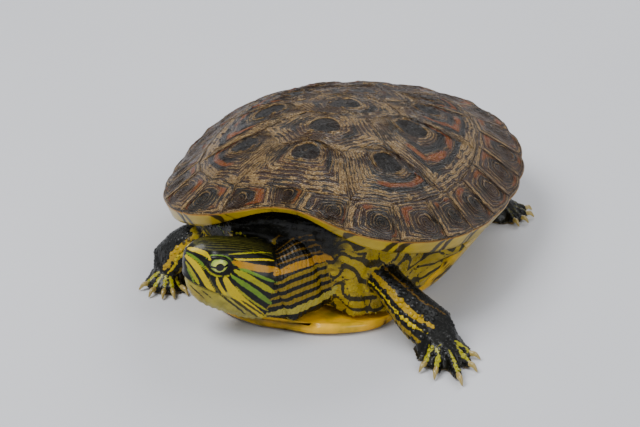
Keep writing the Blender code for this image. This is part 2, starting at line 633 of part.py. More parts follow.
def make_foot(name, foot, stations, group):
    """The foot grows from its flat sole up to the end of the leg."""
    palm, heel, headings, reaches = foot
    outline = foot_outline(palm, heel, headings, reaches)
    middle = np.array(palm)
    end, half_wide, half_thick, across = stations[-1]
    end = np.array(end)
    axis = unit(end - np.array(stations[-2][0]))
    wide, thick = frame_of(axis, across)
    out = unit(np.array([axis[0], axis[1], 0.0]))
    up = thick if thick[2] > 0 else -thick
    flat = unit(np.array([wide[0], wide[1], 0.0]))
    top = []
    for p in outline:
        d = unit(np.append(p - middle, 0.0))
        spot = end + wide * half_wide * float(d @ flat) + up * half_thick * float(d @ out)
        top.append(spot + axis * GAP)
    rings = [[np.append(middle + (p - middle) * share, z) for p in outline]
             for share, z in ((0.92, 0.0), (1.0, 1.6), (0.90, TOE_HEIGHT), (0.68, TOE_HEIGHT + 1.4))]
    rings.append([0.5 * (a + b) + np.array([0.0, 0.0, 0.8]) for a, b in zip(rings[-1], top)])
    for ring in rings[2:]:
        for p in ring:
            # nothing of the foot reaches back past the end of the leg
            short = 1.6 * GAP - float((p - end) @ axis)
            if short > 0:
                p += axis * short
                p[2] = max(p[2], 2.4)
    rings.append(top)
    bm = bmesh.new()
    loft(bm, rings)
    bmesh.ops.triangulate(bm, faces=bm.faces)
    return object_of(name, bm, group, "turtle_skin")


def make_claws(prefix, foot, group):
    palm, _, headings, reaches = foot
    for k, (heading, reach) in enumerate(zip(headings, reaches)):
        a = math.radians(heading)
        ahead = np.array([math.sin(a), -math.cos(a), 0.0])
        side = np.array([math.cos(a), math.sin(a), 0.0])
        rings = []
        for t in (0.0, 0.45, 1.0):
            along = reach + GAP + CLAW_LENGTH * t
            z = 2.45 - 1.7 * t**1.6
            centre = np.array([palm[0], palm[1], 0.0]) + ahead * along + np.array([0, 0, z])
            radius = CLAW_TIP + (CLAW_RADIUS - CLAW_TIP) * (1 - t) ** 0.8
            rings.append(ellipse_ring(centre, side, unit(ahead * 0.5 * t + np.array([0, 0, 1.0])),
                                      radius * 0.85, radius, 5))
        bm = bmesh.new()
        loft(bm, rings)
        object_of(f"{prefix}_claw_{k + 1}", bm, group, "turtle_claw")


def make_limb(side, names, stations, foot, group, cutters, trunk):
    """Upper piece, lower piece, foot and claws of one leg."""
    upper, lower, end = names
    rings = limb_rings(stations, 0, ELBOW)
    tail = limb_rings(stations, ELBOW, len(stations) - 1)
    rings[-1] = shifted(rings[-1], rings[-2], GAP)
    for name, part in ((upper, rings), (lower, tail)):
        bm = bmesh.new()
        loft(bm, part)
        bmesh.ops.triangulate(bm, faces=bm.faces)
        object_of(f"{side}_{name}", bm, group, "turtle_skin")
    make_foot(f"{side}_{end}", foot, stations, group)
    make_claws(f"{side}_{end}", foot, group)
    socket = limb_rings(stations, 0, len(stations) - 1, grow=GAP)
    socket[0] = shifted(socket[0], socket[1], -GAP)
    bm = bmesh.new()
    loft(bm, socket)
    bmesh.ops.triangulate(bm, faces=bm.faces)
    space = object_of(f"{side}_{end}_socket", bm, cutters, "turtle_skin", cutter=True)
    cut(trunk, space)


def tube(name, rings, group, cutter=False):
    bm = bmesh.new()
    loft(bm, rings)
    bmesh.ops.triangulate(bm, faces=bm.faces)
    return object_of(name, bm, group, "turtle_skin", cutter)


def tail_rings(grow=0.0):
    stations = [(c, w, h, (1.0, 0.2, 0.0)) for c, w, h in TAIL_STATIONS]
    rings = limb_rings(stations, 0, len(stations) - 1, count=10, grow=grow)
    if grow:
        rings[0] = shifted(rings[0], rings[1], -grow)
    return rings


def main():
    clear_scene()
    parts = collection("slider_turtle")
    cutters = collection("cutters", hidden=True)
    make_carapace(parts)
    make_plastron(parts)
    trunk = tube("trunk", trunk_rings(), parts)
    make_skull(parts, cutters)
    tube("neck", neck_rings(), parts)
    cut(trunk, tube("neck_socket", neck_rings(grow=GAP, inside=GAP), cutters, cutter=True))
    bm = bmesh.new()
    loft(bm, [head_ring(s, grow=GAP) for s in HEAD_STATIONS])
    bmesh.ops.triangulate(bm, faces=bm.faces)
    cut(trunk, object_of("head_hollow", bm, cutters, "turtle_skin", cutter=True))
    fore, hind = ("upper_arm", "forearm", "forefoot"), ("thigh", "shank", "hindfoot")
    make_limb("left", fore, LEFT_ARM, LEFT_HAND, parts, cutters, trunk)
    make_limb("right", fore, RIGHT_ARM, RIGHT_HAND, parts, cutters, trunk)
    make_limb("left", hind, LEFT_LEG, LEFT_FOOT, parts, cutters, trunk)
    make_limb("right", hind, RIGHT_LEG, RIGHT_FOOT, parts, cutters, trunk)
    tube("tail", tail_rings(), parts)
    cut(trunk, tube("tail_socket", tail_rings(grow=GAP), cutters, cutter=True))


main()
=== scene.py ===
"""Looks of a life-size slider turtle model that lies on its plastron with its head turned to its right.

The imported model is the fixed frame. Every piece is made here in its place: the carapace and the plastron
with their growth rings, one skin over all the flesh, the scales on it, the eyes and the claws. Sizes are in
millimetres, and turn to metres where vertices are set. -Y is the way the shell faces and +X is its left.
"""

import logging
import math
from collections.abc import Callable
from dataclasses import dataclass
from enum import Enum
from itertools import product

import bmesh
import bpy
import numpy as np
from mathutils import Matrix, Vector, bvhtree, noise


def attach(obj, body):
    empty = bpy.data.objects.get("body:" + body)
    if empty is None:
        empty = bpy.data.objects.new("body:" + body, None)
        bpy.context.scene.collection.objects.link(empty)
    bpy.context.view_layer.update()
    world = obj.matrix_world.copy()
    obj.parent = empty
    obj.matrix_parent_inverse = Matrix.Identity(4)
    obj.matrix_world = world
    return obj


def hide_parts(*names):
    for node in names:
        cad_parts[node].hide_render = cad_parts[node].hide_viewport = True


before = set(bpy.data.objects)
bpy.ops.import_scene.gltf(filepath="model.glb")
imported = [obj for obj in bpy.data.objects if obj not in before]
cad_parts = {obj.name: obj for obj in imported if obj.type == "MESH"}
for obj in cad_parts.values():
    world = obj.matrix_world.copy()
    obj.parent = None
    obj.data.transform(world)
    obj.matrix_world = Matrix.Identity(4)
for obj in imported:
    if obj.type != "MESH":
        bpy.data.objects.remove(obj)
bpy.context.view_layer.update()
LOG = logging.getLogger("slider_turtle")
Point = tuple[float, ...]
Array = np.ndarray
MM = 0.001


# ---------------------------------------------------------------- small helpers
def unit(v: Point | Array) -> Array:
    """The vector at length one."""
    v = np.asarray(v, float)
    return v / np.linalg.norm(v)


def smooth(low: float, high: float, v: Array | float) -> Array:
    """An S-shaped step from 0 at low to 1 at high."""
    t = np.clip((np.asarray(v, float) - low) / (high - low), 0.0, 1.0)
    return t * t * (3 - 2 * t)


def bump(v: Array | float, middle: float, half: float) -> Array:
    """A bell that is 1 at middle and fades over half."""
    return np.exp(-(((np.asarray(v, float) - middle) / half) ** 2))


def rings(v: Array | float, *rows: Point) -> Array:
    """The sum of some bells, each given by its height, its middle and its half width."""
    return sum(height * bump(v, middle, half) for height, middle, half in rows)


def grain(points: Array, size: float, seed: float = 0.0, octaves: int = 1) -> Array:
    """Smooth noise about zero at each point.

    Args:
        points: Positions in millimetres.
        size: Size of the lumps in millimetres.
        seed: Moves to another part of the noise.
        octaves: Layers of finer noise.

    Returns:
        One value a point, mostly between -0.5 and 0.5.
    """
    out = np.empty(len(points))
    scale = 1.0 / size
    for i, p in enumerate(points):
        spot = Vector((p[0] * scale + seed, p[1] * scale - seed, p[2] * scale + 3.1 * seed))
        out[i] = noise.noise(spot) if octaves == 1 else noise.fractal(spot, 1.0, 2.0, octaves)
    return out


def on_curve(points: Array, s: float) -> Array:
    """The place at a station number of a smooth curve through points.

    Args:
        points: The stations.
        s: Station number, which may lie between two.

    Returns:
        The place.
    """
    k = min(int(s), len(points) - 2)
    t = s - k
    ends = np.vstack([2 * points[0] - points[1], points, 2 * points[-1] - points[-2]])
    a, b, c, d = ends[k:k + 4]
    return 0.5 * (2 * b + (c - a) * t + (2 * a - 5 * b + 4 * c - d) * t * t + (3 * b - a - 3 * c + d) * t**3)


def curve_through(points: Array, step: float) -> Array:
    """Places about step apart on a smooth curve through points.

    Args:
        points: The stations.
        step: Distance between places.

    Returns:
        The places, one a row.
    """
    counts = [max(1, math.ceil(np.linalg.norm(b - a) / step)) for a, b in zip(points, points[1:])]
    stops = [k + i / count for k, count in enumerate(counts) for i in range(count)]
    return np.array([on_curve(points, s) for s in [*stops, len(points) - 1]])


def on_floor(degrees: float) -> tuple[Array, Array]:
    """The level way at an angle from the front towards the animal's left, and the way across it."""
    a = math.radians(degrees)
    return np.array([math.sin(a), -math.cos(a), 0.0]), np.array([math.cos(a), math.sin(a), 0.0])


def coords_of(mesh: bpy.types.Mesh) -> Array:
    """All vertex positions of a mesh, in millimetres."""
    co = np.empty(len(mesh.vertices) * 3, np.float32)
    mesh.vertices.foreach_get("co", co)
    return co.reshape(-1, 3).astype(float) * 1000


def put_coords(mesh: bpy.types.Mesh, points: Array) -> None:
    """Moves the vertices of a mesh to positions in millimetres."""
    mesh.vertices.foreach_set("co", (points * MM).astype(np.float32).ravel())
    mesh.update()


def normals_of(mesh: bpy.types.Mesh) -> Array:
    """The vertex normals of a mesh."""
    out = np.empty(len(mesh.vertices) * 3, np.float32)
    mesh.vertices.foreach_get("normal", out)
    return out.reshape(-1, 3).astype(float)


def add_floats(mesh: bpy.types.Mesh, name: str, values: Array) -> None:
    """Stores one number a vertex, for the materials."""
    mesh.attributes.new(name, "FLOAT", "POINT").data.foreach_set("value", values.astype(np.float32))


def add_colours(mesh: bpy.types.Mesh, name: str, rgb: Array) -> None:
    """Stores one linear colour a vertex, for the materials."""
    rgba = np.ones((len(rgb), 4), np.float32)
    rgba[:, :3] = rgb
    mesh.attributes.new(name, "FLOAT_COLOR", "POINT").data.foreach_set("color", rgba.ravel())


def place(name: str, mesh: bpy.types.Mesh | bmesh.types.BMesh, material: bpy.types.Material,
          nodes: list[str]) -> None:
    """Links a finished mesh as a piece of the model.

    Args:
        name: Name of the piece.
        mesh: Its mesh, in metres, in place; a bmesh has its faces turned outwards and is freed.
        material: Its finish.
        nodes: The frame's nodes that it stands for.
    """
    if isinstance(mesh, bmesh.types.BMesh):
        bmesh.ops.recalc_face_normals(mesh, faces=mesh.faces)
        mesh = mesh_from(mesh, name)
    made = bpy.data.objects.new(name, mesh)
    bpy.context.scene.collection.objects.link(made)
    mesh.materials.clear()
    mesh.materials.append(material)
    mesh.shade_smooth()
    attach(made, "root")
    if nodes:
        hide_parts(*nodes)
    mesh.calc_loop_triangles()
    LOG.info("%s: %d triangles", name, len(mesh.loop_triangles))


def mesh_from(bm: bmesh.types.BMesh, name: str) -> bpy.types.Mesh:
    """Turns a bmesh into a mesh and frees it."""
    mesh = bpy.data.meshes.new(name)
    bm.to_mesh(mesh)
    bm.free()
    return mesh


def grow_rim(bm: bmesh.types.BMesh, edges: list, where: Callable[..., Point]) -> list:
    """Extrudes an open loop once and moves each new vertex to where(x, y, z), in millimetres.

    Args:
        bm: The mesh, in metres.
        edges: The loop.
        where: The new place of a vertex, from its old one.

    Returns:
        The new loop.
    """
    made = bmesh.ops.extrude_edge_only(bm, edges=edges)["geom"]
    for v in (g for g in made if isinstance(g, bmesh.types.BMVert)):
        v.co = Vector(where(*(v.co * 1000))) * MM
    return [g for g in made if isinstance(g, bmesh.types.BMEdge) and len(g.link_faces) == 1]


# ---------------------------------------------------------------- finishes
STANDARD = {"Mix": {"data_type": "RGBA"}, "MapRange": {"interpolation_type": "SMOOTHSTEP"}}
WAY_OF = {"Mix": "blend_type", "Math": "operation"}
MAIN_OUTPUT = {"TexCoord": "Object", "Attribute": "Fac", "Mix": 2}
# inputs by number, because some nodes have several of one name: of a Mix, of a Math and of a MapRange
SHARE, COLOUR_A, COLOUR_B = 0, 6, 7
VALUE, OTHER, ADDED = 0, 1, 2
LOW, HIGH, BOTTOM, TOP = 1, 2, 3, 4
Step = tuple[str, str, dict, dict]


def linear(text: str) -> Point:
    """An sRGB hex colour as linear red, green and blue."""
    parts = [int(text[i:i + 2], 16) / 255 for i in (1, 3, 5)]
    return tuple(p / 12.92 if p <= 0.04045 else ((p + 0.055) / 1.055) ** 2.4 for p in parts)


def add_node(tree: bpy.types.NodeTree, kind: str, settings: dict, links: dict) -> bpy.types.NodeSocket:
    """Adds one shader node.

    Args:
        tree: The material's tree.
        kind: Blender's node type without its "ShaderNode", and after a dot the way that it works.
        settings: Properties by name, and values of inputs by name or index; a hex text is a colour.
        links: Input name or index to the output socket that feeds it.

    Returns:
        The main output of the node.
    """
    kind, _, way = kind.partition(".")
    node = tree.nodes.new("ShaderNode" + kind)
    for key, value in {**STANDARD.get(kind, {}), **({WAY_OF[kind]: way} if way else {}), **settings}.items():
        if isinstance(key, str) and hasattr(node, key):
            setattr(node, key, value)
        else:
            node.inputs[key].default_value = (*linear(value), 1.0) if isinstance(value, str) else value
    for key, socket in links.items():
        tree.links.new(socket, node.inputs[key])
    return node.outputs[MAIN_OUTPUT.get(kind, 0)]


class Finish:
    """What every finish shares: a Principled shader fed by noises, stored attributes and a list of steps.

    A noise is its name, its lumps a millimetre, its detail and its roughness. A step is a name, a kind of
    node, its settings and its links, which name earlier noises, attributes or steps; a dot and an output
    follow the name where the main output isn't meant. Three steps feed the shader: colour, rough and bumps.
    """

    title: str
    sockets: tuple[tuple[str, object], ...]
    noises: tuple[tuple[str, float, float, float], ...]
    stored: tuple[str, ...] = ()
    ends: dict[str, str] = {"colour": "Base Color", "rough": "Roughness", "bumps": "Normal"}

    def steps(self) -> list[Step]:
        """The steps, in order."""
        raise NotImplementedError

    def make(self) -> bpy.types.Material:
        """Builds the material.

        Returns:
            The material.
        """
        made = bpy.data.materials.new(self.title)
        made.use_nodes = True
        tree = made.node_tree
        shader = tree.nodes["Principled BSDF"]
        for name, value in self.sockets:
            shader.inputs[name].default_value = value
        known = {"where": add_node(tree, "TexCoord", {}, {})}
        for name, per_mm, detail, rough in self.noises:
            settings = {"Scale": per_mm * 1000, "Detail": detail, "Roughness": rough}
            known[name] = add_node(tree, "TexNoise", settings, {"Vector": known["where"]})
        for name in self.stored:
            known[name] = add_node(tree, "Attribute", {"attribute_name": name}, {})
        for name, kind, settings, links in self.steps():
            feeds = {}
            for key, source in links.items():
                first, _, output = source.partition(".")
                feeds[key] = known[first].node.outputs[output] if output else known[first]
            known[name] = add_node(tree, kind, settings, feeds)
        for name, socket in self.ends.items():
            if name in known:
                tree.links.new(known[name], shader.inputs[socket])
        return made


@dataclass(frozen=True)
class ScuteKeratin(Finish):
    """Wet, rugose scute horn: near-black plates whose growth ridges have worn to pale flakes."""

    title: str = "scute_keratin"
    sockets: tuple = (("Specular IOR Level", 0.30),)
    noises: tuple = (("coarse", 0.09, 3.0, 0.55), ("middle", 0.42, 4.0, 0.65), ("fine", 1.7, 4.0, 0.7))
    stored: tuple = ("ridge", "rust", "ink", "worn", "phase")
    black: str = "#070504"
    slate: str = "#1B1813"
    umber: str = "#30190A"
    tan: str = "#5E421C"
    flake: str = "#B89C6A"
    rust_red: str = "#6A2C00"
    ochre: str = "#744200"
    depth: float = 0.0006

    def steps(self) -> list[Step]:
        """Ground, growth lines, flakes, rust rings and black rings."""
        return [
            # the ground goes from black to slate and umber in patches of a centimetre or so
            ("slaty", "MapRange", {LOW: 0.38, HIGH: 0.66}, {VALUE: "middle"}),
            ("dark", "Mix", {COLOUR_A: self.black, COLOUR_B: self.slate}, {SHARE: "slaty"}),
            ("brownish", "MapRange", {LOW: 0.36, HIGH: 0.60, TOP: 0.85}, {VALUE: "coarse"}),
            ("brown", "Mix", {COLOUR_B: self.umber}, {SHARE: "brownish", COLOUR_A: "dark"}),
            ("browner", "Math.MULTIPLY", {OTHER: 0.55}, {VALUE: "worn"}),
            ("ground", "Mix", {COLOUR_B: self.umber}, {SHARE: "browner", COLOUR_A: "brown"}),
            # pale flakes sit on broad and on fine growth lines, and break up every millimetre or two
            ("wander", "Math.MULTIPLY", {OTHER: 3.6}, {VALUE: "middle"}),
            ("turn", "Math.MULTIPLY_ADD", {OTHER: 2 * math.pi}, {VALUE: "phase", ADDED: "wander"}),
            ("broad", "Math.SINE", {}, {VALUE: "turn"}),
            ("faster", "Math.MULTIPLY", {OTHER: 2.9}, {VALUE: "turn"}),
            ("narrow", "Math.SINE", {}, {VALUE: "faster"}),
            ("half", "Math.MULTIPLY", {OTHER: 0.50}, {VALUE: "broad"}),
            ("lines", "Math.MULTIPLY_ADD", {OTHER: 0.36}, {VALUE: "narrow", ADDED: "half"}),
            ("blotchy", "Math.MULTIPLY_ADD", {OTHER: 0.7}, {VALUE: "middle", ADDED: "lines"}),
            ("broken", "Math.MULTIPLY_ADD", {OTHER: 0.9}, {VALUE: "fine", ADDED: "blotchy"}),
            ("worn_line", "Math.MULTIPLY_ADD", {OTHER: 0.95}, {VALUE: "ridge", ADDED: "broken"}),
            ("flaky", "MapRange", {LOW: 1.38, HIGH: 1.70, TOP: 0.88}, {VALUE: "worn_line"}),
            ("lighter", "MapRange", {LOW: 0.40, HIGH: 0.70}, {VALUE: "fine"}),
            ("pale", "Mix", {COLOUR_A: self.tan, COLOUR_B: self.flake}, {SHARE: "lighter"}),
            ("flaked", "Mix", {}, {SHARE: "flaky", COLOUR_A: "ground", COLOUR_B: "pale"}),
            # rust and ochre in the rings of the pleurals, then the black rings and the areolae
            ("yellower", "MapRange", {LOW: 0.35, HIGH: 0.7}, {VALUE: "middle"}),
            ("glow", "Mix", {COLOUR_A: self.rust_red, COLOUR_B: self.ochre}, {SHARE: "yellower"}),
            ("rusty", "Math.MULTIPLY_ADD", {OTHER: 0.9}, {VALUE: "fine", ADDED: "rust"}),
            ("patchy", "MapRange", {LOW: 0.72, HIGH: 1.02, TOP: 0.92}, {VALUE: "rusty"}),
            ("ringed", "Mix", {}, {SHARE: "patchy", COLOUR_A: "flaked", COLOUR_B: "glow"}),
            ("inky", "Math.MULTIPLY_ADD", {OTHER: 0.5}, {VALUE: "fine", ADDED: "ink"}),
            ("blacker", "MapRange", {LOW: 0.55, HIGH: 1.05, TOP: 0.9}, {VALUE: "inky"}),
            ("colour", "Mix", {COLOUR_B: self.black}, {SHARE: "blacker", COLOUR_A: "ringed"}),
            ("rough", "MapRange",
             {"interpolation_type": "LINEAR", LOW: 0.3, HIGH: 0.7, BOTTOM: 0.2, TOP: 0.5}, {VALUE: "fine"}),
            ("pitted", "Math.ADD", {}, {VALUE: "fine", OTHER: "middle"}),
            ("height", "Math.ADD", {}, {VALUE: "pitted", OTHER: "lines"}),
            ("bumps", "Bump", {"Strength": 1.0, "Distance": self.depth}, {"Height": "height"})]


@dataclass(frozen=True)
class RimKeratin(Finish):
    """Smooth yellow horn of the underside of the rim and of the plastron, with dark loops at the seams."""

    title: str = "yellow_keratin"
    sockets: tuple = (("Roughness", 0.30), ("Coat Weight", 0.12), ("Coat Roughness", 0.12),
                      ("Specular IOR Level", 0.3))
    noises: tuple = (("coarse", 0.08, 3.0, 0.55), ("fine", 0.7, 4.0, 0.6))
    stored: tuple = ("ink", "orange", "seam")
    yellow: str = "#967E04"
    straw: str = "#9C8818"
    amber: str = "#F0B61E"
    black: str = "#14100A"
    brown: str = "#5C220A"
    depth: float = 0.00018

    def steps(self) -> list[Step]:
        """Yellow to straw, warmer in patches, then the loops and the seams."""
        return [
            ("strawy", "MapRange", {LOW: 0.36, HIGH: 0.66}, {VALUE: "coarse"}),
            ("ground", "Mix", {COLOUR_A: self.yellow, COLOUR_B: self.straw}, {SHARE: "strawy"}),
            ("patches", "MapRange", {LOW: 0.25, HIGH: 0.62}, {VALUE: "coarse"}),
            ("warm", "Math.MULTIPLY", {}, {VALUE: "orange", OTHER: "patches"}),
            ("warmed", "Mix", {COLOUR_B: self.amber}, {SHARE: "warm", COLOUR_A: "ground"}),
            ("ragged", "Math.MULTIPLY_ADD", {OTHER: 0.5}, {VALUE: "fine", ADDED: "ink"}),
            ("drawn", "MapRange", {LOW: 0.42, HIGH: 0.72, TOP: 0.93}, {VALUE: "ragged"}),
            ("looped", "Mix", {COLOUR_B: self.black}, {SHARE: "drawn", COLOUR_A: "warmed"}),
            ("cut", "Math.MULTIPLY", {OTHER: 0.9}, {VALUE: "seam"}),
            ("colour", "Mix", {COLOUR_B: self.brown}, {SHARE: "cut", COLOUR_A: "looped"}),
            ("height", "Math.ADD", {}, {VALUE: "fine", OTHER: "coarse"}),
            ("bumps", "Bump", {"Strength": 0.5, "Distance": self.depth}, {"Height": "height"})]


@dataclass(frozen=True)
class MoistSkin(Finish):
    """Moist scaly hide: black to olive with sharp-edged yellow lines, soft light under the surface."""

    title: str = "moist_hide"
    sockets: tuple = (("Roughness", 0.36), ("Coat Weight", 0.12), ("Coat Roughness", 0.14),
                      ("Specular IOR Level", 0.22), ("Subsurface Weight", 0.06),
                      ("Subsurface Radius", (0.0012, 0.0008, 0.0004)))
    noises: tuple = (("wobble", 0.9, 3.0, 0.55), ("pores", 1 / 0.55, 3.0, 0.6), ("patch", 0.22, 3.0, 0.55))
    stored: tuple = ("hide", "stripe", "light_mm", "ink_mm")
    ink: str = "#14140F"
    shade: str = "#000000"
    grime: str = "#6E5A1C"
    depth: float = 0.00012

    def steps(self) -> list[Step]:
        """Ground, light strokes over it, and dark strokes over both, with edges that wander a little."""
        return [
            ("shift", "Math.MULTIPLY_ADD", {OTHER: 0.7, ADDED: -0.35}, {VALUE: "wobble"}),
            ("shady", "MapRange", {LOW: 0.35, HIGH: 0.7, TOP: 0.30}, {VALUE: "patch"}),
            ("ground", "Mix", {COLOUR_B: self.shade}, {SHARE: "shady", COLOUR_A: "hide.Color"}),
            ("grimy", "MapRange", {LOW: 0.45, HIGH: 0.75, TOP: 0.25}, {VALUE: "pores"}),
            ("bright", "Mix.MULTIPLY", {COLOUR_B: self.grime}, {SHARE: "grimy", COLOUR_A: "stripe.Color"}),
            ("light", "Math.ADD", {}, {VALUE: "light_mm", OTHER: "shift"}),
            ("inside", "MapRange", {LOW: -0.13, HIGH: 0.16}, {VALUE: "light"}),
            ("striped", "Mix", {}, {SHARE: "inside", COLOUR_A: "ground", COLOUR_B: "bright"}),
            ("dark", "Math.ADD", {}, {VALUE: "ink_mm", OTHER: "shift"}),
            ("drawn", "MapRange", {LOW: -0.15, HIGH: 0.18, TOP: 0.93}, {VALUE: "dark"}),
            ("colour", "Mix", {COLOUR_B: self.ink}, {SHARE: "drawn", COLOUR_A: "striped"}),
            ("bumps", "Bump", {"Strength": 0.55, "Distance": self.depth}, {"Height": "pores"})]


@dataclass(frozen=True)
class WetEye(Finish):
    """Clear wet cornea over a pale yellow-green iris, which a dark bar crosses at the level of the pupil."""

    title: str = "wet_eye"
    sockets: tuple = (("Roughness", 0.12), ("Coat Weight", 0.55), ("Coat Roughness", 0.02),
                      ("Specular IOR Level", 0.2), ("IOR", 1.38))
    noises: tuple = (("fleck", 2.2, 4.0, 0.7),)
    stored: tuple = ("from_pupil_mm", "bar_mm")
    iris: str = "#B9C24E"
    rim: str = "#7F9A3C"
    gold: str = "#E6E08A"
    black: str = "#060605"
    surround: str = "#1B1A10"

    def steps(self) -> list[Step]:
        """Iris with flecks, then the bar, the pupil and the dark round the iris."""
        return [
            ("shift", "Math.MULTIPLY_ADD", {OTHER: 0.9, ADDED: -0.45}, {VALUE: "fleck"}),
            ("outer", "MapRange", {LOW: 1.9, HIGH: 3.9}, {VALUE: "from_pupil_mm"}),
            ("ground", "Mix", {COLOUR_A: self.iris, COLOUR_B: self.rim}, {SHARE: "outer"}),
            ("golden", "MapRange", {LOW: 0.5, HIGH: 0.7, TOP: 0.35}, {VALUE: "fleck"}),
            ("flecked", "Mix", {COLOUR_B: self.gold}, {SHARE: "golden", COLOUR_A: "ground"}),
            ("near_bar", "Math.ADD", {}, {VALUE: "bar_mm", OTHER: "shift"}),
            ("bar", "MapRange", {LOW: -0.12, HIGH: 0.15}, {VALUE: "near_bar"}),
            ("barred", "Mix", {COLOUR_B: self.black}, {SHARE: "bar", COLOUR_A: "flecked"}),
            ("pupil", "MapRange", {LOW: 1.78, HIGH: 1.66}, {VALUE: "from_pupil_mm"}),
            ("pierced", "Mix", {COLOUR_B: self.black}, {SHARE: "pupil", COLOUR_A: "barred"}),
            ("ragged", "Math.ADD", {}, {VALUE: "from_pupil_mm", OTHER: "shift"}),
            ("beyond", "MapRange", {LOW: 3.9, HIGH: 4.3}, {VALUE: "ragged"}),
            ("colour", "Mix", {COLOUR_B: self.surround}, {SHARE: "beyond", COLOUR_A: "pierced"})]


@dataclass(frozen=True)
class ClawHorn(Finish):
    """Claw horn: translucent straw yellow, darker along the back, with fine grain along its length."""

    title: str = "claw_horn"
    sockets: tuple = (("Roughness", 0.30), ("Coat Weight", 0.3), ("Coat Roughness", 0.15))
    noises: tuple = (("fine", 1.1, 3.0, 0.55),)
    stored: tuple = ("back",)
    straw: str = "#BFA95C"
    dark: str = "#5C4A28"
    depth: float = 0.00008

    def steps(self) -> list[Step]:
        """Straw to brown along the back."""
        return [
            ("uneven", "Math.ADD", {}, {VALUE: "back", OTHER: "fine"}),
            ("share", "Math.MULTIPLY", {OTHER: 0.42}, {VALUE: "uneven"}),
            ("colour", "Mix", {COLOUR_A: self.straw, COLOUR_B: self.dark}, {SHARE: "share"}),
            ("bumps", "Bump", {"Strength": 0.4, "Distance": self.depth}, {"Height": "fine"})]


@dataclass(frozen=True)
class StudioPaper(Finish):
    """Matte white backdrop paper."""

    title: str = "backdrop_paper"
    sockets: tuple = (("Roughness", 0.85), ("Specular IOR Level", 0.15))
    noises: tuple = (("soft", 0.004, 2.0, 0.55),)
    white: str = "#C2C3C7"
    shade: str = "#BBBCC1"

    def steps(self) -> list[Step]:
        """Two near greys in broad patches."""
        return [("colour", "Mix", {COLOUR_A: self.white, COLOUR_B: self.shade}, {SHARE: "soft"})]


# ---------------------------------------------------------------- shell
class Scute(Enum):
    """The three kinds of plate on the carapace, with their ring counts and point spacing in millimetres."""

    VERTEBRAL = (8, 34, 1.25)
    PLEURAL = (11, 46, 1.2)
    MARGINAL = (5, 20, 1.1)

    @property
    def ridges(self) -> int:
        """Growth ridges between the seam and the areola."""
        return self.value[0]

    @property
    def rings(self) -> int:
        """Rings of faces between the seam and the middle."""
        return self.value[1]

    @property
    def step(self) -> float:
        """Distance between points along the seam."""
        return self.value[2]


